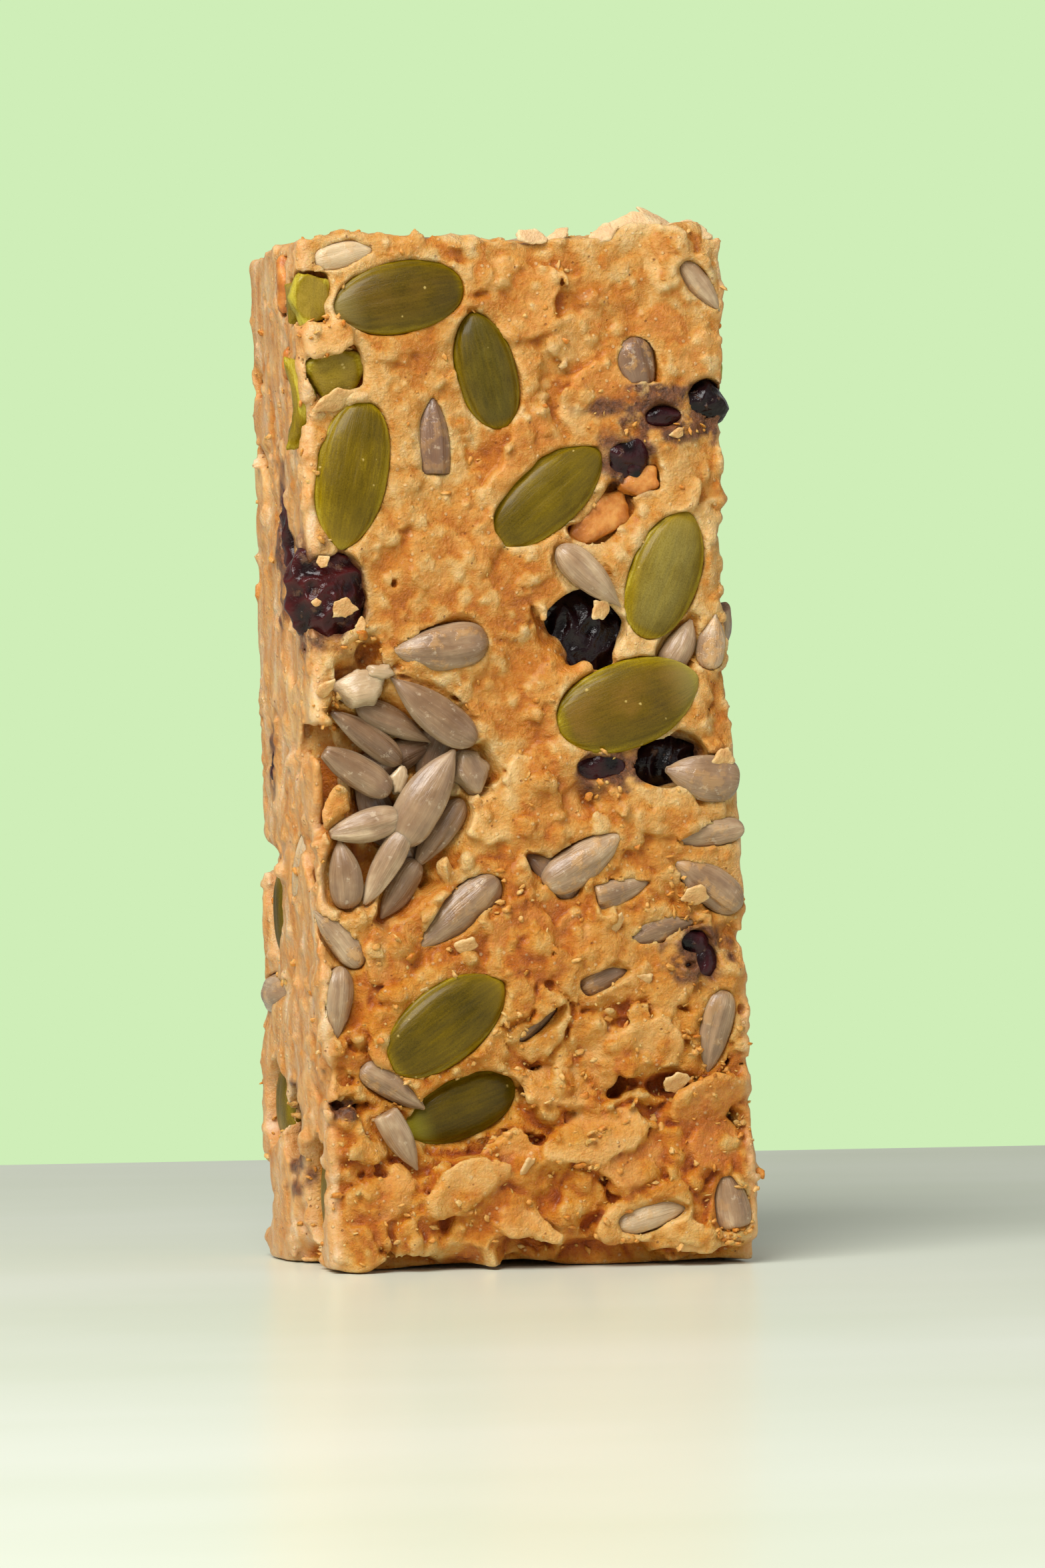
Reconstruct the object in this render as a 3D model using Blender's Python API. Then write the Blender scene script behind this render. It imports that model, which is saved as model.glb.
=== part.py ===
"""A granola bar that stands on its cut end.

The bar is one pressed block of nut paste and oats. Whole pumpkin seeds and dried cranberries sit in its faces,
each in a pocket of its own. Metres, +Z up, the bar's broad front face towards -Y.
"""

import math

import bmesh
import bpy
from mathutils import Matrix, Vector, noise

MM = 0.001

# Driving dimensions of the block
WIDTH = 40.5 * MM
DEPTH = 21.5 * MM
HEIGHT = 95.0 * MM
LEAN = math.radians(2.0)  # the base is cut this far off square, so the bar leans towards -X
EDGE_RADIUS = 1.3 * MM
CELL = 3.7 * MM  # spacing of the block's grid of faces
SKIRT = 1.5 * MM  # extra length below the base, which the slanted cut takes off

# Unevenness of the block's skin: size of the lumps, and how far they stand in or out
LUMP = 9.0 * MM
LUMP_HEIGHT_TOP = 0.45 * MM
LUMP_HEIGHT_BASE = 0.95 * MM
TORN_BELOW = 48 * MM  # the skin gets rougher below this height

GAP = 0.3 * MM  # clearance between an inclusion and its pocket
SEED_THICKNESS = 2.6 * MM
SEED_ROUNDS, SEED_RINGS = 10, 8
BERRY_ROUNDS, BERRY_RINGS = 9, 6

# Each face: the viewer's right, the outward normal, and the distance from the bar's axis
FACES = {
    "front": (Vector((1, 0, 0)), Vector((0, -1, 0)), DEPTH / 2),
    "back": (Vector((-1, 0, 0)), Vector((0, 1, 0)), DEPTH / 2),
    "left": (Vector((0, -1, 0)), Vector((-1, 0, 0)), WIDTH / 2),
    "right": (Vector((0, 1, 0)), Vector((1, 0, 0)), WIDTH / 2),
}

# Hollows in the skin: face, across, height, half width, half height, depth, in millimetres
HOLLOWS = (
    ("front", 5.0, 58.5, 5.5, 5.0, 1.4),
    ("front", -12.8, 44.5, 8.5, 12.0, 2.6),
    ("front", -6.5, 14.5, 9.5, 5.5, 1.2),
    ("front", 12.5, 47.0, 6.0, 3.5, 1.6),
    ("front", -1.0, 0.5, 9.0, 2.5, 1.6),
    ("back", 9.0, 30.0, 7.0, 8.0, 1.8),
    ("back", -11.0, 62.0, 5.0, 6.0, 1.2),
    ("left", 2.0, 1.0, 5.0, 2.5, 1.4),
    ("right", -3.0, 12.0, 3.0, 5.0, 1.2),
)

# Pumpkin seeds: face, across, height, length, width, turn of the long axis in degrees, tilt, height of the
# seed's middle above the skin. Lengths are in millimetres.
PUMPKIN_SEEDS = (
    ("front", -11.0, 89.3, 12.7, 7.1, 190, 4, 0.0),
    ("front", -2.8, 82.7, 11.0, 6.1, 103, -5, -0.5),
    ("front", -15.9, 73.3, 13.8, 7.2, 258, 6, -0.2),
    ("front", 2.9, 71.2, 13.2, 6.8, 39, -4, -0.2),
    ("front", 14.0, 63.6, 12.6, 7.4, 67, 5, -0.5),
    ("front", 9.7, 52.0, 13.7, 7.9, 18, -3, 0.2),
    ("front", -8.6, 23.1, 13.1, 7.7, 34, 3, -0.2),
    ("front", -7.2, 14.9, 11.4, 6.2, 200, -6, -0.3),
    ("left", 5.2, 7.6, 10.6, 5.8, 86, 0, -1.15),
    ("left", -6.4, 15.4, 8.2, 6.4, 82, 0, -1.0),
    ("left", -6.6, 33.2, 9.0, 5.0, 96, 0, -0.8),
    ("back", 9.5, 84.0, 12.9, 7.2, 24, 4, -0.2),
    ("back", -9.0, 76.5, 13.2, 7.4, 118, -4, -0.3),
    ("back", -2.5, 50.5, 12.4, 6.9, 340, 3, -0.1),
    ("back", 13.6, 46.0, 11.8, 6.6, 80, -5, -0.3),
    ("back", -11.8, 22.5, 13.0, 7.3, 52, 5, -0.2),
    ("back", 4.5, 12.0, 12.2, 7.0, 165, -3, -0.2),
    ("right", 3.6, 70.0, 10.8, 5.6, 88, 0, -1.0),
    ("right", -4.4, 36.5, 9.6, 5.2, 95, 0, -1.0),
)

# Dried cranberries: face, across, height, size across, size up, size inwards, height of the middle above the skin
CRANBERRIES = (
    ("front", -17.0, 62.2, 5.4, 7.2, 4.0, -1.2),
    ("front", 4.7, 59.2, 6.6, 6.2, 3.6, -0.9),
    ("front", 17.6, 78.9, 4.8, 4.2, 3.6, -1.4),
    ("front", 13.4, 46.2, 5.4, 4.4, 3.0, -0.9),
    ("left", -1.0, 13.8, 4.8, 7.0, 3.4, -1.5),
    ("left", 0.8, 68.5, 2.6, 10.5, 3.0, -1.5),
    ("back", 2.0, 66.0, 7.4, 6.0, 4.0, -1.6),
    ("back", -13.6, 40.5, 6.2, 6.8, 4.0, -1.6),
    ("right", 4.0, 20.0, 4.6, 6.8, 3.6, -1.5),
)

MATERIALS = {
    "oat_paste": ((0.60, 0.31, 0.095), 0.62),
    "seed_skin": ((0.145, 0.115, 0.014), 0.38),
    "berry_skin": ((0.035, 0.006, 0.008), 0.30),
}


def clear_scene():
    for obj in list(bpy.data.objects):
        bpy.data.objects.remove(obj)


def new_collection(name, hidden=False):
    collection = bpy.data.collections.new(name)
    collection.hide_render = hidden
    bpy.context.scene.collection.children.link(collection)
    return collection


def new_material(name):
    colour, roughness = MATERIALS[name]
    material = bpy.data.materials.new(name)
    material.use_nodes = True
    shader = material.node_tree.nodes["Principled BSDF"]
    shader.inputs["Base Color"].default_value = (*colour, 1.0)
    shader.inputs["Roughness"].default_value = roughness
    shader.inputs["Metallic"].default_value = 0.0
    return material


def new_object(name, bm, collection, parent, material=None):
    """The bmesh as an object of that name, in the bar's own axes."""
    mesh = bpy.data.meshes.new(name)
    bm.to_mesh(mesh)
    bm.free()
    mesh.shade_smooth()
    obj = bpy.data.objects.new(name, mesh)
    obj.parent = parent
    collection.objects.link(obj)
    if material:
        mesh.materials.append(material)
    return obj


def smooth_step(low, high, value):
    share = min(1.0, max(0.0, (value - low) / (high - low)))
    return share * share * (3 - 2 * share)


def hollow_depth(point):
    """How far the hollows draw in the skin at a point of it."""
    depth = 0.0
    for face, across, height, half_width, half_height, most in HOLLOWS:
        right, normal, distance = FACES[face]
        if point.dot(normal) < distance - EDGE_RADIUS:
            continue
        x = (point.dot(right) - across * MM) / (half_width * MM)
        z = (point.z - height * MM) / (half_height * MM)
        reach = math.hypot(x, z)
        depth += most * MM * (1 - smooth_step(0.35, 1.0, reach))
    return depth


def skin_offset(point):
    """How far the pressed, broken skin stands out from the plain block."""
    torn = 1 - smooth_step(TORN_BELOW * 0.5, TORN_BELOW, point.z)
    height = LUMP_HEIGHT_TOP + (LUMP_HEIGHT_BASE - LUMP_HEIGHT_TOP) * torn
    lumps = noise.fractal(point / LUMP, 0.8, 2.1, 3)
    return height * lumps - hollow_depth(point)


def face_matrix(face, across, height, outwards):
    """A frame standing on the skin of a face: X to the viewer's right, Y up and Z outwards."""
    right, normal, distance = FACES[face]
    up = Vector((0, 0, 1))
    plain = right * across + up * height + normal * distance
    spot = plain + normal * (skin_offset(plain) + outwards)
    turn = Matrix((right, up, normal)).transposed().to_4x4()
    return Matrix.Translation(spot) @ turn


def rounded(point, half, middle):
    """A point of the plain block's skin moved onto its rounded edges, and its outward normal there."""
    local = point - middle
    inner = Vector(max(r - h, min(h - r, p)) for p, h, r in zip(local, half, (EDGE_RADIUS,) * 3))
    normal = (local - inner).normalized()
    return middle + inner + normal * EDGE_RADIUS, normal


def cut_into_cells(bm, half, middle):
    """Cuts the block's faces into a grid, with a finer first row along each edge."""
    for axis in range(3):
        normal = Vector((0, 0, 0))
        normal[axis] = 1
        inner = half[axis] - EDGE_RADIUS
        count = round(2 * inner / CELL)
        for step in range(count + 1):
            spot = middle + normal * (-inner + 2 * inner * step / count)
            everything = bm.verts[:] + bm.edges[:] + bm.faces[:]
            bmesh.ops.bisect_plane(bm, geom=everything, plane_co=spot, plane_no=normal)


def make_block(collection, parent, material):
    """The pressed block: a rounded, uneven box whose base is cut level with what it stands on."""
    half = Vector((WIDTH, DEPTH, HEIGHT + SKIRT)) / 2
    middle = Vector((0, 0, (HEIGHT - SKIRT) / 2))
    bm = bmesh.new()
    bmesh.ops.create_cube(bm, size=2)
    bmesh.ops.scale(bm, vec=half, verts=bm.verts)
    bmesh.ops.translate(bm, vec=middle, verts=bm.verts)
    cut_into_cells(bm, half, middle)
    for vert in bm.verts:
        spot, normal = rounded(vert.co, half, middle)
        vert.co = spot + normal * skin_offset(spot)
    level = Vector((math.sin(LEAN), 0, math.cos(LEAN)))
    bmesh.ops.bisect_plane(
        bm,
        geom=bm.verts[:] + bm.edges[:] + bm.faces[:],
        plane_co=(0, 0, 0),
        plane_no=level,
        clear_inner=True,
    )
    bmesh.ops.holes_fill(bm, edges=[edge for edge in bm.edges if edge.is_boundary])
    bmesh.ops.recalc_face_normals(bm, faces=bm.faces)
    return new_object("oat_block", bm, collection, parent, material)


def seed_mesh(length, width, thickness):
    """A flat drop with domed sides, its long axis along X and its pointed end at +X."""
    bm = bmesh.new()
    bmesh.ops.create_uvsphere(bm, u_segments=SEED_ROUNDS, v_segments=SEED_RINGS, radius=1)
    for vert in bm.verts:
        side, up, along = vert.co
        narrow = 1 - 0.22 * smooth_step(-0.2, 1.0, along)
        vert.co = (along * length / 2, side * narrow * width / 2, up * narrow * thickness / 2)
    return bm


def berry_mesh(across, upwards, inwards, number):
    """A shrivelled lump, its thickness along Z."""
    bm = bmesh.new()
    bmesh.ops.create_uvsphere(bm, u_segments=BERRY_ROUNDS, v_segments=BERRY_RINGS, radius=1)
    for vert in bm.verts:
        ripple = 1 + 0.16 * noise.noise(vert.co * 1.9 + Vector((number, 0, 0)))
        x, y, z = vert.co * ripple
        vert.co = (x * across / 2, y * upwards / 2, z * inwards / 2)
    return bm


def cut_pocket(block, name, bm, matrix, cutters, parent):
    """Takes the space of an inclusion out of the block."""
    cutter = new_object(name, bm, cutters, parent)
    cutter.matrix_local = matrix
    cutter.hide_render = True
    cutter.display_type = "WIRE"
    cut = block.modifiers.new(name, "BOOLEAN")
    cut.operation = "DIFFERENCE"
    cut.solver = "EXACT"
    cut.object = cutter


def make_seeds(block, parts, cutters, parent, material):
    for number, row in enumerate(PUMPKIN_SEEDS, 1):
        face, across, height, length, width, turn, tilt, proud = row
        matrix = (
            face_matrix(face, across * MM, height * MM, proud * MM)
            @ Matrix.Rotation(math.radians(turn), 4, "Z")
            @ Matrix.Rotation(math.radians(tilt), 4, "X")
        )
        size = Vector((length * MM, width * MM, SEED_THICKNESS))
        seed = new_object(f"pumpkin_seed_{number:02d}", seed_mesh(*size), parts, parent, material)
        seed.matrix_local = matrix
        room = size + Vector((2 * GAP,) * 3)
        cut_pocket(block, f"seed_pocket_{number:02d}", seed_mesh(*room), matrix, cutters, parent)


def make_berries(block, parts, cutters, parent, material):
    for number, row in enumerate(CRANBERRIES, 1):
        face, across, height, *size, proud = row
        matrix = face_matrix(face, across * MM, height * MM, proud * MM)
        size = [s * MM for s in size]
        berry = new_object(f"cranberry_{number}", berry_mesh(*size, number), parts, parent, material)
        berry.matrix_local = matrix
        room = [s + 2 * GAP for s in size]
        cut_pocket(block, f"berry_pocket_{number}", berry_mesh(*room, number), matrix, cutters, parent)


def stand_on_origin(parts, stance):
    """Moves the whole bar so that the middle of its outline stands over the origin."""
    bpy.context.view_layer.update()
    graph = bpy.context.evaluated_depsgraph_get()
    corners = []
    for obj in parts.objects:
        seen = obj.evaluated_get(graph)
        corners += [seen.matrix_world @ vert.co for vert in seen.data.vertices]
    for axis in (0, 1):
        values = [corner[axis] for corner in corners]
        stance.location[axis] -= (min(values) + max(values)) / 2


def main():
    clear_scene()
    parts = new_collection("granola_bar")
    cutters = new_collection("cutters", hidden=True)
    stance = bpy.data.objects.new("stance", None)
    stance.rotation_euler = (0, -LEAN, 0)
    parts.objects.link(stance)
    block = make_block(parts, stance, new_material("oat_paste"))
    make_seeds(block, parts, cutters, stance, new_material("seed_skin"))
    make_berries(block, parts, cutters, stance, new_material("berry_skin"))
    parts.objects.unlink(stance)
    bpy.context.scene.collection.objects.link(stance)
    stand_on_origin(parts, stance)


main()
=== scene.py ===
import math

import bmesh
import bpy
import numpy as np
from mathutils import Matrix, Vector, noise


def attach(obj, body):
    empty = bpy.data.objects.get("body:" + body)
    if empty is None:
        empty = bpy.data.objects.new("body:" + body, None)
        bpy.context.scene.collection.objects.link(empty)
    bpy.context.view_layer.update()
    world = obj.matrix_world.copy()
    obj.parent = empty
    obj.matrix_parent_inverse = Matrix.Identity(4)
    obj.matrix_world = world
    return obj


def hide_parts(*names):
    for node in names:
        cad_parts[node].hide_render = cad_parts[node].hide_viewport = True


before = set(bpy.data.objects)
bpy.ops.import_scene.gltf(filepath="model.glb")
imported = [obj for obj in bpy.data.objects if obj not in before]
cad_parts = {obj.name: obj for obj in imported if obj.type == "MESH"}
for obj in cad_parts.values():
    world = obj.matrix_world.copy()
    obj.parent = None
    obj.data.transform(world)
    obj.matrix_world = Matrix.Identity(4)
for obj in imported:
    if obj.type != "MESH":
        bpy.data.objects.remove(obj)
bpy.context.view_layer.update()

# --------------------------------------------------
# The bar's own axes: millimetres, X across the broad front, Y into the bar, Z up along its leaning length
# --------------------------------------------------

MM = 0.001
LEAN = math.radians(2.0)
UPRIGHT = np.array(Matrix.Rotation(-LEAN, 3, "Y"))  # turns the bar's axes into the frame's
RNG = np.random.default_rng(20)


def corners_of(obj):
    """The corners of an object, turned into the directions of the bar's axes, in millimetres."""
    points = np.empty(len(obj.data.vertices) * 3)
    obj.data.vertices.foreach_get("co", points)
    return points.reshape(-1, 3) @ UPRIGHT / MM


def middle_of(points):
    return (points.min(0) + points.max(0)) / 2


def block_in_bar_axes():
    """The origin of the bar's axes on the floor, and the block's lowest and highest corner seen from it."""
    points = corners_of(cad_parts["oat_block"])
    middle = middle_of(points)
    origin = np.array([middle[0], middle[1], 0.0])
    on_floor = UPRIGHT @ origin
    origin = origin - np.array([0, 0, on_floor[2] / math.cos(LEAN)])
    return origin, points.min(0) - origin, points.max(0) - origin


ORIGIN, BLOCK_LOW, BLOCK_HIGH = block_in_bar_axes()
# How far the lumps of the CAD's block stand out of its plain sides and its plain top
SIDE_LUMPS = 0.55
TOP_LUMPS = 0.3
HALF_WIDTH = BLOCK_HIGH[0] - SIDE_LUMPS
HALF_DEPTH = BLOCK_HIGH[1] - SIDE_LUMPS
TOP = BLOCK_HIGH[2] - TOP_LUMPS
# Each face: the way to its right, the way up, the way out, and how far out it lies
FACES = {
    "front": (np.array([1.0, 0, 0]), np.array([0, 0, 1.0]), np.array([0, -1.0, 0]), HALF_DEPTH),
    "back": (np.array([-1.0, 0, 0]), np.array([0, 0, 1.0]), np.array([0, 1.0, 0]), HALF_DEPTH),
    "left": (np.array([0, -1.0, 0]), np.array([0, 0, 1.0]), np.array([-1.0, 0, 0]), HALF_WIDTH),
    "right": (np.array([0, 1.0, 0]), np.array([0, 0, 1.0]), np.array([1.0, 0, 0]), HALF_WIDTH),
    "top": (np.array([1.0, 0, 0]), np.array([0, 1.0, 0]), np.array([0, 0, 1.0]), TOP),
}


def to_frame(points):
    """Points in the bar's axes, in millimetres, as points of the shared frame, in metres."""
    return (np.asarray(points) + ORIGIN) @ UPRIGHT.T * MM


# --------------------------------------------------
# A grid of distances that the paste is modelled in: negative inside, positive outside
# --------------------------------------------------

VOXEL = 0.25
GRID_MARGIN = 1.6
GRID_LOW = np.array([BLOCK_LOW[0], BLOCK_LOW[1], 0.0]) - GRID_MARGIN
GRID_HIGH = BLOCK_HIGH + GRID_MARGIN
SHAPE = tuple(int(n) for n in np.ceil((GRID_HIGH - GRID_LOW) / VOXEL) + 1)
AXES = [(GRID_LOW[i] + VOXEL * np.arange(SHAPE[i])).astype(np.float32) for i in range(3)]
X, Y, Z = AXES[0][:, None, None], AXES[1][None, :, None], AXES[2][None, None, :]


def smoothstep(low, high, value):
    """Rises smoothly from 0 at low to 1 at high, or falls where low is the greater."""
    share = np.clip((value - low) / (high - low), 0, 1)
    return share * share * (3 - 2 * share)


def spline_weights(fraction):
    """Cubic B-spline weights of the four grid values around a point."""
    f = fraction
    return ((1 - f) ** 3 / 6, (3 * f**3 - 6 * f**2 + 4) / 6, (-3 * f**3 + 3 * f**2 + 3 * f + 1) / 6, f**3 / 6)


def soft_noise(size):
    """Smooth random values of about -1 to 1 over the grid, with lumps of that size along X, Y and Z."""
    size = np.broadcast_to(np.asarray(size, float), 3)
    counts = [int((axis[-1] - axis[0]) / s) + 5 for axis, s in zip(AXES, size)]
    values = RNG.uniform(-1, 1, counts).astype(np.float32)
    for i, (axis, spacing) in enumerate(zip(AXES, size)):
        place = (axis - axis[0]) / spacing + RNG.uniform(0, 1)
        first = place.astype(int)
        wide = [1, 1, 1]
        wide[i] = -1
        total = 0
        for step, weight in enumerate(spline_weights(place - first)):
            total = total + np.take(values, first + step, axis=i) * weight.reshape(wide).astype(np.float32)
        values = total
    return values / (2.5 * values.std())


OCTAVE_STEP = 2.03  # how many times finer each layer of the noise is than the one before


def fractal(size, octaves, gain=0.5):
    """Layers of soft noise, each finer than the one before and gain times as strong."""
    size = np.broadcast_to(np.asarray(size, float), 3)
    return sum(gain**k * soft_noise(size / OCTAVE_STEP**k) for k in range(octaves))


def smooth_min(a, b, width):
    """The lower of two distances, with the edge between them rounded over that width."""
    blend = np.maximum(width - np.abs(a - b), 0)
    return np.minimum(a, b) - blend * blend / (4 * width)


def smooth_max(a, b, width):
    return -smooth_min(-a, -b, width)


def window(centre, reach):
    """The part of the grid within reach of a point."""
    low = np.clip(((np.asarray(centre) - reach - GRID_LOW) / VOXEL).astype(int), 0, SHAPE)
    high = np.clip(((np.asarray(centre) + reach - GRID_LOW) / VOXEL).astype(int) + 2, 0, SHAPE)
    return tuple(slice(a, b) for a, b in zip(low, high))


def local_grid(part, matrix):
    """The grid points of a window in the axes of a 4x4 placing matrix."""
    x, y, z = (AXES[i][part[i]].astype(np.float32) - np.float32(matrix[i, 3]) for i in range(3))
    turn = matrix[:3, :3].astype(np.float32)
    return [
        turn[0, i] * x[:, None, None] + turn[1, i] * y[None, :, None] + turn[2, i] * z[None, None, :]
        for i in range(3)
    ]


def sample(field, points):
    """The field's values at points in the bar's axes, blended from the eight grid values around each."""
    place = (np.asarray(points) - GRID_LOW) / VOXEL
    place = np.clip(place, 0, np.array(SHAPE) - 1.001)
    first = place.astype(int)
    f = place - first
    total = 0
    for corner in np.ndindex(2, 2, 2):
        weight = np.prod([f[:, i] if corner[i] else 1 - f[:, i] for i in range(3)], axis=0)
        i, j, k = (first + corner).T
        total = total + weight * field[i, j, k]
    return total


def blurred(field, steps):
    """The field averaged over a box of 2 x steps + 1 grid points a side."""
    width = 2 * steps + 1
    for axis in range(3):
        before = np.repeat(np.take(field, [0], axis), steps + 1, axis)
        after = np.repeat(np.take(field, [-1], axis), steps, axis)
        total = np.cumsum(np.concatenate([before, field, after], axis), axis=axis, dtype=np.float64)
        start = np.arange(field.shape[axis])
        within = np.take(total, start + width, axis) - np.take(total, start, axis)
        field = (within / width).astype(np.float32)
    return field


def cells(size, base, band, warp):
    """Distances to the nearest and second nearest of scattered points, and a random value for each cell."""
    counts = np.ceil((GRID_HIGH - GRID_LOW) / size).astype(int) + 1
    spots = np.stack(np.meshgrid(*[np.arange(n) for n in counts], indexing="ij"), -1).reshape(-1, 3)
    spots = GRID_LOW + (spots + RNG.uniform(-0.5, 0.5, spots.shape)) * size
    values = RNG.uniform(-1, 1, len(spots))
    near = np.abs(sample(base, spots)) < band
    first = np.full(SHAPE, 9 * size * size, np.float32)  # farther than any distance that is measured
    second = first.copy()
    value = np.zeros(SHAPE, np.float32)
    for spot, own in zip(spots[near], values[near]):
        part = window(spot, 1.55 * size)
        x, y, z = (AXES[i][part[i]] for i in range(3))
        distance = (
            (x[:, None, None] + warp[0][part] - spot[0]) ** 2
            + (y[None, :, None] + warp[1][part] - spot[1]) ** 2
            + (z[None, None, :] + warp[2][part] - spot[2]) ** 2
        )
        old = first[part]
        closer = distance < old
        second[part] = np.where(closer, old, np.minimum(second[part], distance))
        first[part] = np.where(closer, distance, old)
        value[part] = np.where(closer, own, value[part])
    return np.sqrt(first), np.sqrt(second), value


# --------------------------------------------------
# Placing matrices: X along a seed's length towards its tip, Y across it, Z out of the bar
# --------------------------------------------------


def placing(centre, right, up, out):
    """The 4x4 matrix that puts something at centre, with its X, Y and Z along three directions."""
    matrix = np.eye(4)
    matrix[:3] = np.stack([right, up, out, centre], 1)
    return matrix


def put(local, matrix):
    """Points in the axes of a placing matrix as points of the bar's axes."""
    return local @ matrix[:3, :3].T + matrix[:3, 3]


def rotation(axis, degrees):
    return np.array(Matrix.Rotation(math.radians(degrees), 4, axis))


def on_face(face, across, height, outwards=0.0, turn=0.0, roll=0.0, pitch=0.0):
    """A place on a face. turn is anticlockwise as seen, roll is about its length, pitch raises its tip."""
    right, up, normal, distance = FACES[face]
    centre = right * across + up * height + normal * (distance + outwards)
    matrix = placing(centre, right, up, normal)
    return matrix @ rotation("Z", turn) @ rotation("X", roll) @ rotation("Y", -pitch)


def nearest_face(centre):
    """The face that a point lies nearest to, or furthest out of."""
    return max(FACES.values(), key=lambda face: face[2] @ centre - face[3])


def cad_matrix(name):
    """The place and size of a CAD seed, found from the spread of its corners."""
    points = corners_of(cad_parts[name]) - ORIGIN
    centre = middle_of(points)
    _, axes = np.linalg.eigh(np.cov((points - points.mean(0)).T))
    thickness, width, length = axes.T
    if thickness @ nearest_face(centre)[2] < 0:
        thickness = -thickness
    along = (points - centre) @ length
    wide = np.abs((points - centre) @ width)
    end = 0.35 * np.ptp(along) / 2
    if wide[along > end].mean() > wide[along < -end].mean():
        length = -length
    matrix = placing(centre, length, np.cross(thickness, length), thickness)
    return matrix, np.ptp((points - centre) @ matrix[:3, :3], axis=0)


# --------------------------------------------------
# What is set in the paste
# --------------------------------------------------

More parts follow.
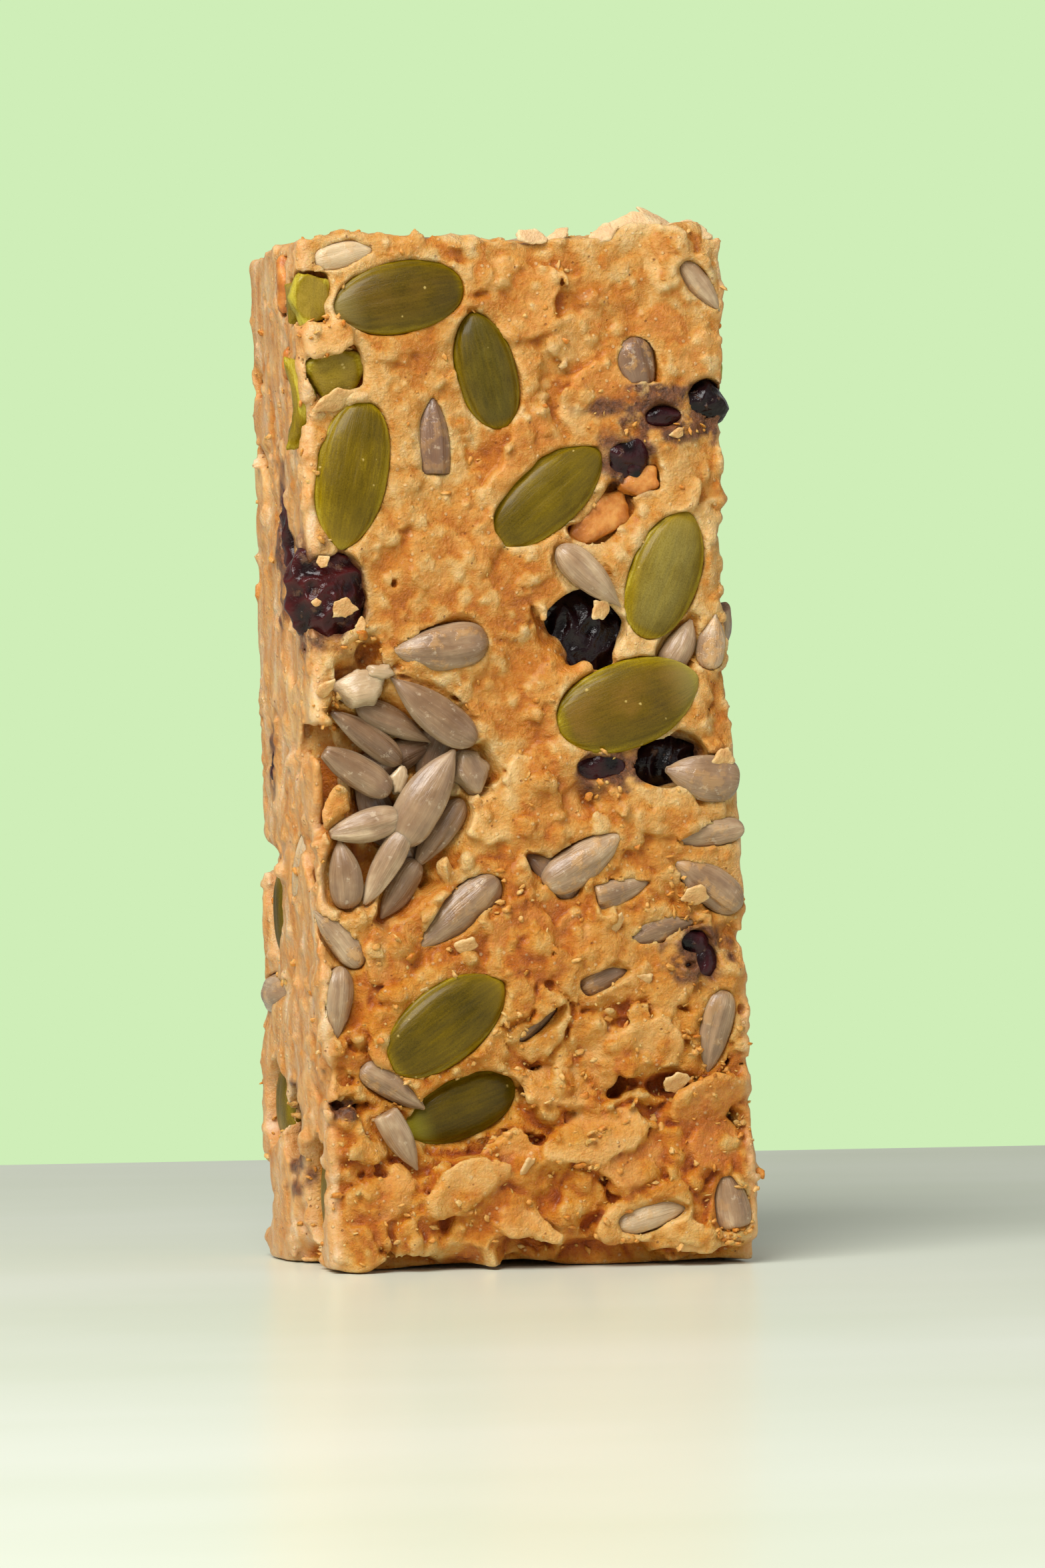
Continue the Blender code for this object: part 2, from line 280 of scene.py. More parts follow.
# Sunflower kernels of the front: across, height, length, width, turn of the pointed end, height of the middle
# above the face, roll, pitch, how they are held, the shares cut off the blunt and the pointed end, and their
# tone from -1, grey, to 1, cream
FRONT_KERNELS = (
    (-8.2, 76.4, 9.2, 3.9, 90, -0.75, 0, 0, "set", 0.16, 0, -1.0),
    (-8.3, 57.6, 9.1, 5.1, 185, -0.35, 8, 0, "set", 0, 0, 0.0),
    (-15.8, 54.0, 6.6, 4.4, 190, -0.8, 20, 0, "loose", 0.12, 0.2, 0.9),
    (-14.0, 55.4, 5.0, 1.8, 355, -0.1, 0, 0, "loose", 0.2, 0.25, 0.9),
    (-9.2, 51.7, 9.9, 4.5, 140, 0.0, 10, -4, "loose", 0, 0, -0.35),
    (-12.6, 50.6, 7.9, 3.2, 332, -1.3, -20, 0, "loose", 0, 0, -0.55),
    (-15.4, 49.5, 8.6, 3.2, 143, -1.5, 12, 0, "loose", 0, 0.05, -0.6),
    (-16.8, 46.5, 8.2, 3.7, 147, -0.6, 6, 0, "loose", 0, 0.12, -0.35),
    (-12.4, 45.5, 5.4, 1.9, 70, -1.1, 0, 0, "loose", 0.2, 0.25, 0.9),
    (-10.0, 43.8, 10.1, 5.1, 58, -0.1, -6, 4, "loose", 0, 0, 0.1),
    (-5.6, 46.0, 7.0, 3.9, 118, -1.1, 10, 0, "loose", 0.3, 0.12, 0.1),
    (-8.8, 40.2, 8.2, 3.3, 232, -1.5, 15, 0, "loose", 0, 0, -0.5),
    (-16.2, 41.4, 7.6, 3.7, 192, -0.35, 0, 0, "loose", 0, 0.10, 0.7),
    (-14.2, 37.4, 8.2, 3.1, 238, -0.3, 10, -4, "loose", 0, 0.04, 0.6),
    (-17.9, 37.0, 6.4, 3.7, 95, -1.0, -15, 0, "loose", 0, 0, -0.1),
    (-12.6, 35.4, 6.4, 3.2, 235, -1.5, 0, 0, "loose", 0, 0, -0.4),
    (-12.0, 47.4, 8.4, 3.8, 20, -2.9, 0, 0, "loose", 0, 0, -0.8),
    (-14.6, 43.4, 8.4, 3.8, 110, -2.9, 0, 0, "loose", 0, 0, -0.8),
    (-8.6, 47.6, 7.6, 3.6, 250, -2.8, 10, 0, "loose", 0, 0, -0.6),
    (-12.2, 39.6, 8.0, 3.6, 300, -2.8, 0, 0, "loose", 0, 0, -0.8),
    (-7.5, 33.0, 10.2, 4.7, 218, -0.45, -6, 0, "set", 0, 0, -0.1),
    (4.7, 37.6, 9.0, 4.5, 32, -0.2, 0, 4, "set", 0, 0, 0.7),
    (7.6, 34.4, 7.6, 3.4, 14, -0.6, 8, 0, "set", 0.25, 0, 0.1),
    (12.3, 30.6, 7.4, 3.0, 14, -0.6, 10, 0, "sunk", 0, 0, -0.3),
    (6.1, 63.5, 8.2, 3.7, 316, 0.1, 10, 0, "loose", 0, 0, 0.55),
    (11.8, 82.4, 6.6, 4.6, 280, -0.8, 0, 0, "sunk", 0, 0.3, -0.9),
    (17.9, 90.2, 6.0, 2.7, 308, -0.4, 20, 0, "set", 0, 0, 0.6),
    (16.4, 44.9, 7.2, 5.2, 170, -0.1, 0, 0, "set", 0, 0, 0.0),
    (16.6, 39.3, 7.6, 3.1, 188, -0.3, -10, 0, "set", 0, 0, 0.5),
    (16.5, 34.8, 8.2, 4.4, 145, -0.5, -8, 0, "set", 0, 0, -0.1),
    (6.6, 26.4, 6.0, 3.4, 20, -0.8, 0, 0, "sunk", 0, 0, -0.7),
    (-0.2, 22.8, 6.4, 2.8, 35, -0.8, 15, 0, "sunk", 0, 0, -0.5),
    (1.8, 36.2, 6.4, 3.4, 140, -1.3, 0, 0, "sunk", 0, 0, -0.8),
    (16.9, 21.0, 8.0, 3.9, 255, -0.3, -12, 0, "set", 0, 0, 0.2),
    (-14.0, 17.3, 7.2, 3.3, 325, -0.8, 10, 0, "set", 0, 0, 0.3),
    (-13.8, 12.9, 7.2, 3.2, 298, -0.1, 25, 0, "loose", 0.15, 0, 0.5),
    (-18.7, 31.2, 6.8, 3.8, 130, -0.9, -25, 0, "set", 0, 0, 0.5),
    (-19.0, 25.0, 7.4, 3.3, 262, -0.9, -30, 0, "set", 0, 0, 0.3),
    (10.3, 4.3, 7.6, 3.4, 12, -0.25, 0, 0, "set", 0, 0, 0.9),
    (17.9, 5.3, 6.4, 4.1, 100, -0.4, -15, 0, "set", 0.1, 0.1, 0.2),
    (14.9, 57.0, 5.4, 3.4, 60, -1.3, 0, 0, "loose", 0, 0, 0.4),
    (18.0, 57.2, 5.2, 3.2, 80, -0.7, -20, 0, "set", 0, 0, 0.6),
    (-15.8, 93.4, 6.4, 3.0, 10, -0.7, 0, 0, "sunk", 0, 0.1, 1.0),
)

# Cut bits of pumpkin seed: face, across, height, length, width, turn, height above the face
PUMPKIN_BITS = (
    ("front", -17.3, 82.7, 5.6, 5.2, 12, -0.85),
    ("front", -19.3, 89.5, 5.2, 3.8, 86, -0.85),
    ("left", 8.4, 89.4, 4.4, 2.6, 88, -0.60),
    ("left", 8.8, 80.0, 8.6, 1.8, 92, -0.70),
    ("back", 15.0, 66.0, 4.8, 4.6, 30, -0.55),
    ("back", -2.0, 28.0, 4.4, 4.2, 110, -0.55),
    ("right", -6.0, 84.0, 5.4, 3.2, 84, -0.60),
)

# Broken oats on the front: across, height, length, width, turn, height above the face, roll, pitch
CHIPS = (
    (11.6, 96.1, 4.6, 2.6, 14, -0.9, -38, 6),
    (14.2, 96.4, 4.0, 2.2, 340, -1.6, -52, -8),
    (16.4, 95.0, 5.0, 3.0, 8, -0.6, -24, 4),
    (8.8, 95.2, 3.0, 1.8, 30, -0.7, -30, 0),
    (1.8, 95.0, 2.8, 1.4, 350, -0.6, -20, 0),
    (4.6, 95.2, 2.4, 1.4, 16, -0.8, -34, 0),
    (7.4, 31.4, 2.6, 1.0, 74, 0.5, 16, 20),
    (-17.3, 61.2, 2.3, 1.9, 20, 0.35, 8, 6),
    (-15.8, 59.5, 1.9, 1.0, 80, 0.30, -10, 0),
    (-19.2, 65.5, 1.3, 1.1, 40, 0.30, -10, 10),
    (-19.9, 61.8, 0.9, 0.8, 10, 0.30, 0, 14),
    (15.0, 76.6, 1.6, 1.0, 30, 0.30, 10, 0),
    (-17.6, 80.2, 4.2, 2.0, 24, 0.2, 24, 0),
    (-2.0, 9.6, 2.6, 0.9, 70, 0.9, 30, 24),
    (12.6, 16.6, 2.4, 1.9, 30, 0.8, 20, 10),
    (7.0, 60.4, 1.9, 1.7, 70, 0.3, 10, 0),
    (-19.4, 54.0, 2.2, 1.4, 40, 0.4, 20, 20),
    (15.2, 33.8, 2.6, 2.0, 20, 0.7, 20, 10),
    (-11.8, 25.6, 3.0, 1.2, 40, 0.3, 30, 10),
    (-7.0, 30.0, 2.4, 1.3, 20, 0.5, 20, 10),
    (18.0, 46.4, 2.4, 1.8, 50, 1.0, 10, 0),
    (9.6, 26.2, 2.2, 1.3, 10, 0.5, 20, 10),
)

# Soft orange bits of dried apricot: the same numbers as for the bits of pumpkin seed
APRICOT_BITS = (
    ("front", 7.6, 68.9, 7.0, 4.2, 40, -1.35),
    ("front", 11.7, 72.2, 3.8, 3.0, 10, -1.2),
    ("back", 9.0, 78.0, 4.6, 3.6, 70, -0.45),
    ("left", 5.0, 91.0, 5.6, 2.6, 88, -0.40),
    ("left", 6.0, 84.0, 3.2, 1.6, 80, -0.40),
    ("right", 2.0, 34.0, 4.4, 2.8, 80, -0.45),
)

# Torn bits of cranberry: face, across, height, size across, size up, size inwards, height above the face
BERRY_BITS = (
    ("front", 9.9, 74.6, 3.0, 2.6, 2.0, -0.5),
    ("front", 11.2, 73.4, 1.6, 2.2, 1.6, -0.6),
    ("front", 6.9, 45.9, 3.8, 2.2, 2.0, -0.8),
    ("front", 15.0, 29.4, 2.2, 1.6, 1.4, -0.4),
    ("front", 16.2, 27.6, 1.7, 2.2, 1.4, -0.4),
    ("front", 14.2, 27.4, 1.4, 1.1, 1.2, -0.4),
    ("front", 13.8, 78.3, 2.4, 1.2, 1.4, -0.5),
    ("back", 5.0, 58.0, 2.6, 2.0, 1.6, -0.5),
    ("back", -15.0, 88.0, 2.2, 2.6, 1.6, -0.5),
    ("back", 12.0, 20.0, 2.8, 1.8, 1.6, -0.5),
    ("left", -6.0, 47.0, 1.0, 2.4, 1.2, -0.2),
    ("right", 6.0, 56.0, 1.6, 3.0, 1.4, -0.4),
    ("right", -5.0, 74.0, 2.0, 2.2, 1.4, -0.4),
    ("top", 8.0, 2.0, 2.6, 2.0, 1.4, -0.4),
)

# Juice that has run into the paste: face, across, height, half width, half height
STAINS = (
    ("front", 12.6, 79.0, 5.6, 2.4),
    ("front", 16.0, 76.8, 4.0, 1.2),
    ("front", 10.6, 74.8, 2.4, 2.8),
    ("front", 8.0, 46.0, 4.2, 2.0),
    ("front", 15.4, 28.6, 3.2, 3.0),
    ("front", -18.6, 15.6, 1.4, 0.9),
    ("left", -0.4, 66.0, 1.4, 7.0),
    ("left", 0.0, 12.0, 2.4, 5.0),
    ("back", 3.0, 61.0, 3.6, 2.4),
    ("back", -12.0, 37.0, 3.4, 2.6),
    ("right", 4.4, 24.0, 2.2, 4.0),
)

# Rolled oats that show on the front: across, height, length, width, turn, height above the face, roll, tone
FRONT_FLAKES = (
    (-8.0, 7.8, 9.4, 4.8, 25, 0.50, 18, 0.3),
    (-6.4, 8.4, 3.2, 2.6, 10, 1.00, 10, 0.9),
    (4.9, 12.0, 9.8, 4.8, 14, 0.55, -26, 0.5),
    (7.6, 9.6, 7.4, 4.6, 350, 0.50, -12, -0.2),
    (14.7, 14.6, 7.6, 4.8, 20, 0.35, 22, -0.4),
    (13.4, 2.4, 5.4, 3.2, 330, 0.55, 14, 0.9),
    (-14.8, 12.8, 6.0, 3.0, 15, 0.30, 24, 0.4),
    (-15.0, 7.4, 6.4, 4.4, 60, 0.30, -10, 0.0),
    (-2.6, 4.4, 6.0, 3.2, 340, 0.60, -14, 0.3),
    (6.4, 4.0, 5.0, 3.4, 30, 0.60, 10, 0.5),
    (-7.7, 66.3, 6.5, 3.4, 340, -0.50, 4, -0.4),
    (2.3, 52.5, 6.5, 3.0, 80, -0.40, -6, -0.3),
    (2.4, 42.6, 7.2, 5.0, 330, -0.55, -8, -0.2),
    (-1.4, 31.2, 5.4, 4.0, 20, 0.10, 6, -0.8),
    (10.2, 20.6, 6.4, 4.4, 350, 0.40, 14, 0.5),
    (5.2, 28.6, 6.4, 4.2, 80, 0.15, 6, 0.2),
    (12.4, 25.0, 5.0, 3.6, 40, 0.30, -6, 0.4),
    (-14.6, 29.4, 6.0, 3.8, 60, 0.05, 10, -0.6),
    (5.6, 86.0, 6.6, 4.4, 60, -0.45, 12, 0.2),
    (-3.0, 91.4, 5.4, 3.6, 20, -0.45, -12, 0.2),
    (-11.6, 80.6, 5.6, 3.6, 300, -0.50, 14, 0.1),
    (15.2, 70.6, 4.8, 3.8, 30, -0.30, -12, 0.4),
    (-18.0, 85.9, 4.2, 4.0, 40, 0.75, -14, 0.2),
    (13.0, 94.5, 6.6, 3.0, 12, -0.9, 10, 0.9),
    (17.0, 93.8, 5.0, 2.6, 340, -0.8, -10, 1.0),
    (9.6, 94.3, 4.0, 2.2, 24, -0.9, 0, 0.8),
)

# Lumps that stand out of the front: across, height, half width, half height, rise
FRONT_LUMPS = (
    (0.6, 14.9, 2.0, 1.9, 1.7),
    (5.9, 15.2, 1.8, 1.2, 1.6),
    (6.5, 26.0, 13.0, 7.6, 0.8),
    (7.5, 10.4, 8.5, 3.8, 0.8),
    (10.8, 6.2, 4.6, 3.4, 0.8),
    (14.0, 2.2, 4.0, 2.2, 0.8),
    (15.4, 14.4, 3.6, 2.2, 0.7),
    (-5.5, 8.2, 6.6, 3.6, 0.9),
    (-14.0, 5.0, 5.4, 4.4, 0.5),
    (-12.5, 3.4, 3.4, 1.4, 0.5),
    (2.0, 5.0, 2.0, 1.6, 0.8),
    (-3.0, 40.6, 4.0, 2.0, 0.5),
    (5.0, 47.2, 4.6, 2.2, 0.5),
    (-15.6, 33.4, 3.4, 1.8, 0.6),
    (-1.0, 35.0, 3.0, 3.6, 0.6),
    (-17.6, 85.6, 2.2, 2.2, 0.6),
)

# Hollows in the faces: face, across, height, half width, half height, depth
HOLLOWS = (
    ("front", -12.8, 44.6, 8.6, 12.0, 2.5),
    ("front", -11.2, 50.2, 5.5, 3.6, 1.0),
    ("front", 5.0, 58.8, 5.8, 5.6, 1.7),
    ("front", 12.4, 47.0, 6.0, 3.4, 1.9),
    ("front", 8.2, 68.0, 4.4, 3.6, 1.0),
    ("front", -5.6, 14.6, 9.5, 5.2, 1.2),
    ("front", 3.6, 16.6, 7.4, 2.3, 3.2),
    ("front", 12.6, 16.4, 3.6, 1.3, 2.0),
    ("front", -12.6, 12.6, 2.6, 3.6, 1.2),
    ("front", -9.6, 6.4, 0.8, 3.0, 1.0),
    ("front", -5.0, 11.8, 6.5, 1.5, 2.6),
    ("front", -17.4, 16.0, 2.8, 0.9, 1.1),
    ("front", 6.4, 9.6, 0.9, 2.6, 1.1),
    ("front", 17.2, 18.4, 1.6, 1.2, 1.6),
    ("front", -8.0, -0.2, 4.6, 2.7, 2.6),
    ("front", -1.6, 0.2, 4.8, 4.2, 3.0),
    ("front", 6.4, -0.4, 4.0, 2.6, 2.2),
    ("front", 12.2, -0.2, 2.6, 2.0, 2.2),
    ("front", -14.6, -0.4, 4.4, 2.4, 1.7),
    ("front", -20.0, -0.2, 2.4, 2.2, 1.3),
    ("left", -10.6, -0.2, 2.6, 2.6, 1.5),
    ("front", 17.4, 10.6, 2.6, 3.8, 1.4),
    ("front", 16.6, 0.4, 2.4, 1.8, 1.8),
    ("front", -18.6, 79.0, 2.6, 1.6, 1.2),
    ("front", 1.6, 36.0, 3.0, 3.4, 1.3),
    ("front", 3.0, 43.0, 5.4, 2.4, 1.1),
    ("front", -13.0, 70.6, 2.6, 1.4, 0.6),
    ("back", 9.0, 30.0, 7.0, 8.0, 1.8),
    ("back", -11.0, 62.0, 5.0, 6.0, 1.2),
    ("back", 3.0, 90.0, 6.0, 2.0, 0.9),
    ("left", 2.0, 1.0, 5.0, 2.5, 1.4),
    ("left", -10.0, 6.5, 4.5, 3.8, 1.9),
    ("left", -10.0, 37.0, 4.5, 3.4, 1.0),
    ("left", -8.5, 80.0, 2.0, 7.0, 0.9),
    ("left", 3.4, 60.0, 2.2, 8.0, 0.6),
    ("right", -3.0, 12.0, 3.0, 5.0, 1.2),
    ("right", 5.0, 52.0, 3.0, 5.0, 0.8),
)

KERNEL_THICKNESS = 2.7
KERNEL_SLIMNESS = 0.84  # the ridges stand out of a kernel's plain width
BIT_THICKNESS = 2.0
CHIP_THICKNESS = 0.42
SCATTERED_KERNELS = {"back": 25, "left": 2, "right": 7, "top": 4}
# Where scattered things may lie on a face: from and to across, from and to up
FACE_SPANS = {
    "front": (-19.0, 19.0, 2.0, 93.0),
    "back": (-19.0, 19.0, 2.0, 93.0),
    "left": (-9.0, 9.0, 2.0, 93.0),
    "right": (-9.0, 9.0, 2.0, 93.0),
    "top": (-19.0, 19.0, -4.0, 9.0),
}


def pumpkin_profile(t):
    """A pumpkin seed's half width and thickness as shares, from its blunt end at t = -1 to its tip at 1."""
    end = np.clip(np.abs(t), 0, 1)
    nub = 0.15 * np.sqrt(np.clip(1 - ((t - 0.90) / 0.10) ** 2, 0, 1)) * (t > 0.90)
    width = np.where(t < 0, (1 - end**2.3) ** 0.5, np.maximum((1 - end**2.1) ** 0.66, nub))
    depth = np.where(t < 0, (1 - end**2.1) ** 0.5, np.maximum((1 - end**2.0) ** 0.62, nub))
    return width, depth


def kernel_profile(t):
    """The same for a shelled sunflower kernel, round at one end and drawn out to a tip at the other."""
    s = (np.clip(t, -1, 1) + 1) / 2
    blunt = np.clip((0.36 - s) / 0.36, 0, 1)
    drawn = np.clip((s - 0.36) / 0.64, 0, 1)
    nub = 0.14 * np.sqrt(np.clip(1 - ((drawn - 0.92) / 0.08) ** 2, 0, 1)) * (drawn > 0.92)
    width = np.where(s < 0.36, (1 - blunt**2.7) ** 0.5, np.maximum((1 - drawn**2.2) ** 1.05, nub))
    return width, width**0.75


def berry_profile(t):
    """The same for a round berry."""
    width = np.sqrt(1 - np.clip(t, -1, 1) ** 2)
    return width, width


def plate_profile(t):
    """The same for a broken flat piece."""
    width = (1 - np.clip(np.abs(t), 0, 1) ** 5) ** 0.2
    return width, width


# How far the paste laps over the rim of what it holds, in mm, and how much that varies
LAPS = {
    "held": (0.16, 0.42),
    "set": (0.44, 0.55),
    "sunk": (0.70, 0.80),
    "torn": (0.70, 1.60),
    "loose": (-0.30, 0.15),
}


class Inclusion:
    """Something set in the paste: its placing matrix, its length, width and thickness, and how it is held."""

    def __init__(self, matrix, size, profile, hold="held", cuts=(0, 0), tone=0.0, node=None):
        self.matrix = matrix
        self.size = np.asarray(size, float)
        self.profile = profile
        self.hold = hold
        self.cuts = cuts
        self.tone = tone
        self.node = node


# Seeds whose skin is a little larger than the CAD's seed: shares of its length, width and thickness
SEED_FITS = {"pumpkin_seed_06": (1.05, 1.09, 1.0)}


def cad_nodes(prefix):
    return sorted(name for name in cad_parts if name.startswith(prefix))


def cad_seeds():
    """The pumpkin seeds of the CAD."""
    found = []
    for name in cad_nodes("pumpkin_seed"):
        matrix, extent = cad_matrix(name)
        extent = extent * np.array(SEED_FITS.get(name, (1, 1, 1)))
        found.append(Inclusion(matrix, extent, pumpkin_profile, node=name))
    return found


# How the cranberries lie in their holes: moved across, up and outwards, and stretched across and up
BERRY_FITS = {
    "cranberry_1": (-0.9, 0.0, -1.0, 1.24, 1.36),
    "cranberry_2": (1.8, -1.9, -1.6, 1.58, 1.68),
    "cranberry_3": (0.3, 0.6, -0.9, 1.05, 1.10),
    "cranberry_4": (0.0, 0.3, -0.6, 1.35, 1.25),
}
OTHER_BERRY_FIT = (0, 0, -0.6, 1.05, 1.05)


def cad_berries():
    """The cranberries of the CAD, squared up to the faces they lie in."""
    found = []
    for name in cad_nodes("cranberry"):
        points = corners_of(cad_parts[name]) - ORIGIN
        centre = middle_of(points)
        right, up, normal, _ = nearest_face(centre)
        across, rise, outwards, wider, taller = BERRY_FITS.get(name, OTHER_BERRY_FIT)
        matrix = placing(centre + (across * right + rise * up + outwards * normal), right, up, normal)
        extent = np.ptp(points @ matrix[:3, :3], axis=0) * (wider, taller, 1)
        found.append(Inclusion(matrix, extent, berry_profile, "torn", node=name))
    return found


def front_kernels():
    """The front's kernels. One that is cut at both ends is a broken flat piece."""
    found = []
    for across, height, length, width, turn, outwards, roll, pitch, hold, *cuts, tone in FRONT_KERNELS:
        matrix = on_face("front", across, height, outwards, turn, roll, pitch)
        width *= KERNEL_SLIMNESS
        thickness = min(KERNEL_THICKNESS, 0.76 * width)
        profile = kernel_profile
        if min(cuts) > 0.1:
            length, profile, cuts = length * (1 - sum(cuts)), plate_profile, (0, 0)
        found.append(Inclusion(matrix, (length, width, thickness), profile, hold, cuts, tone))
    return found


def cut_bits(rows, roll):
    """Flat bits of seed or fruit, pressed into the faces."""
    found = []
    for face, across, height, length, width, turn, outwards in rows:
        matrix = on_face(face, across, height, outwards, turn, roll)
        found.append(Inclusion(matrix, (length, width, BIT_THICKNESS), plate_profile, "sunk"))
    return found


def chips():
    """Broken oats. Those of the top edge are paler."""
    found = []
    for across, height, length, width, turn, outwards, roll, pitch in CHIPS:
        matrix = on_face("front", across, height, outwards, turn, roll, pitch)
        pale = 0.4 if height > 94 else 0.1
        found.append(Inclusion(matrix, (length, width, CHIP_THICKNESS), plate_profile, "loose", tone=pale))
    return found


def berry_bits():
    """Torn bits of cranberry, made larger and deeper than what shows, because the paste laps over them."""
    found = []
    for face, across, height, wide, tall, deep, outwards in BERRY_BITS:
        matrix = on_face(face, across, height, outwards - 0.5)
        size = (1.4 * wide, 1.4 * tall, 1.2 * deep)
        found.append(Inclusion(matrix, size, berry_profile, "sunk"))
    return found


CROWDING = 0.36  # how near two things may lie, as a share of their lengths


def scattered_kernels(taken):
    """Kernels on the other faces, clear of each other and of the inclusions already there."""
    found = []
    for face, count in SCATTERED_KERNELS.items():
        low, high, bottom, top = FACE_SPANS[face]
        low, high = 0.8 * low, 0.8 * high
        placed = 0
        for _ in range(60 * count):
            if placed == count:
                break
            place = (RNG.uniform(low, high), RNG.uniform(bottom, top), RNG.uniform(-0.95, -0.45))
            turn, roll, pitch = RNG.uniform(0, 360), RNG.uniform(-14, 14), RNG.uniform(-6, 6)
            size = (RNG.uniform(7.4, 10.0), RNG.uniform(3.1, 4.1), RNG.uniform(2.2, 2.7))
            matrix = on_face(face, *place, turn, roll, pitch)
            near = [np.linalg.norm(matrix[:3, 3] - other.matrix[:3, 3]) for other in taken + found]
            room = [CROWDING * (size[0] + other.size[0]) + 0.6 for other in taken + found]
            if all(distance >= needed for distance, needed in zip(near, room)):
                hold = "sunk" if RNG.uniform() < 0.3 or face in ("left", "right") else "set"
                cuts = (0.3 * RNG.uniform(), 0) if RNG.uniform() < 0.25 else (0, 0.1 * RNG.uniform())
                found.append(Inclusion(matrix, size, kernel_profile, hold, cuts, RNG.uniform(-1, 1)))
                placed += 1
    return found


# --------------------------------------------------
# The paste
# --------------------------------------------------

EDGE_RADIUS = 0.8
# The most that a lump stands out of the plain faces: less at the back, where the CAD's box is nearer
FRONT_BULGE = 1.32
BACK_BULGE = 0.92


def plain_block(shift):
    """Distance to a block with rounded edges that reaches below the floor. shift moves its faces out."""
    x = np.abs(X) - HALF_WIDTH + EDGE_RADIUS
    y = np.abs(Y) - HALF_DEPTH + EDGE_RADIUS
    z = np.abs(Z - (TOP / 2 - 2)) - (TOP / 2 + 2) + EDGE_RADIUS
    outside = np.sqrt(np.maximum(x, 0) ** 2 + np.maximum(y, 0) ** 2 + np.maximum(z, 0) ** 2)
    inside = np.minimum(np.maximum(np.maximum(x, y), z), 0)
    return outside + inside - EDGE_RADIUS - shift


def bulging_block(extra=0.0):
    """Distance to the block that holds every lump."""
    bulge = BACK_BULGE + (FRONT_BULGE - BACK_BULGE) * smoothstep(3, -3, Y)
    return plain_block(bulge + extra) + uneven_sides()


def uneven_sides():
    """How far the cut sides draw in: the right one has a waist, the left one flares at its foot's back."""
    waist = 1.3 * np.exp(-(((Z - 64) / 24) ** 2)) * smoothstep(HALF_WIDTH - 6, HALF_WIDTH - 1, X)
    foot = 1.2 * smoothstep(50, 0, Z) * smoothstep(-6, 6, Y)
    head = 0.5 * smoothstep(55, 90, Z) * smoothstep(-2, 6, Y)
    return waist + (head - foot) * smoothstep(-HALF_WIDTH + 6, -HALF_WIDTH + 1, X)


def overlaps(size):
    """Steps of 0 to 1 along wandering lines, as where one sheet of paste folds over the next."""
    return smoothstep(-0.04, 0.09, fractal(size, 3))


def hollow_depth():
    """How far the hollows draw the faces in."""
    depth = np.zeros(SHAPE, np.float32)
    wobble = 0.40 * soft_noise(2.6)
    for face, across, height, half_width, half_height, most in HOLLOWS:
        right, up, normal, distance = FACES[face]
        side = (X * right[0] + Y * right[1] + Z * right[2] - across) / half_width
        rise = (X * up[0] + Y * up[1] + Z * up[2] - height) / half_height
        out = X * normal[0] + Y * normal[1] + Z * normal[2] - distance
        reach = np.sqrt(side**2 + rise**2) + wobble
        dip = most * (1 - smoothstep(0.55, 1.0, reach)) * smoothstep(-4.0 - most, -1.5 - most, out)
        depth = np.maximum(depth, dip.astype(np.float32))
    return depth


def undercut():
    """Minus the distance to what is worn away under the foot of the front and the back."""
    height = 0.9 + 2.3 * soft_noise(3.0)
    depth = 2.1 + 1.2 * soft_noise(4.5)
    return -np.maximum(Z - height, HALF_DEPTH - depth - np.abs(Y))


def lump_height():
    """How far the front's lumps stand out."""
    rise = np.zeros(SHAPE, np.float32)
    wobble = 0.25 * soft_noise(2.2)
    near_front = smoothstep(-HALF_DEPTH + 3.5, -HALF_DEPTH + 1.5, Y)
    for across, height, half_width, half_height, most in FRONT_LUMPS:
        reach = np.sqrt(((X - across) / half_width) ** 2 + ((Z - height) / half_height) ** 2) + wobble
        swell = most * (1 - smoothstep(0.35, 1.1, reach)) * near_front
        rise = np.maximum(rise, swell.astype(np.float32))
    return rise


def around(item, reach):
    """The grid near an inclusion: the window, the distances to its body and its outline, and the way out."""
    length, width, thickness = item.size / 2
    part = window(item.matrix[:3, 3], 1.1 * length + reach)
    along, side, out = local_grid(part, item.matrix)
    wide, deep = item.profile(np.clip(along / length, -1, 1))
    wide = np.maximum(wide, 0.08) * width
    deep = np.maximum(deep, 0.08) * thickness
    low, high = 2 * item.cuts[0] - 1, 1 - 2 * item.cuts[1]
    end = np.maximum(along - high * length, low * length - along)
    whole = (np.sqrt((side / wide) ** 2 + (out / deep) ** 2) - 1) * np.minimum(wide, deep)
    return part, np.maximum(whole, end), np.maximum(np.abs(side) - wide, end), out


def add_collar(field, item, wobble):
    """Wraps paste round an inclusion up to its rim."""
    part, whole, _, out = around(item, 2.0)
    collar = smooth_max(whole - 0.75, out - 0.10 - 0.35 * wobble[part], 0.6)
    field[part] = smooth_min(field[part], collar, 0.9)


def carve_inclusion(field, item, wobble, sway):
    """Opens the paste in front of an inclusion and leaves the inclusion its own room."""
    part, whole, flat, out = around(item, 1.2)
    lap, waver = LAPS[item.hold]
    lap = lap - waver * (0.7 * wobble[part] + 1.3 * sway[part] if item.hold == "torn" else wobble[part])
    lap = np.maximum(lap, -0.04 if item.hold != "loose" else lap)
    lip = flat + lap - (0.0 if item.hold == "torn" else 0.35) * np.maximum(out, 0)
    opened = np.maximum(lip, -out - 0.2)
    field[part] = np.maximum(smooth_max(field[part], -opened, 0.25), -whole - 0.04)


FLAKES = {"front": 70, "back": 100, "left": 30, "right": 36, "top": 30}


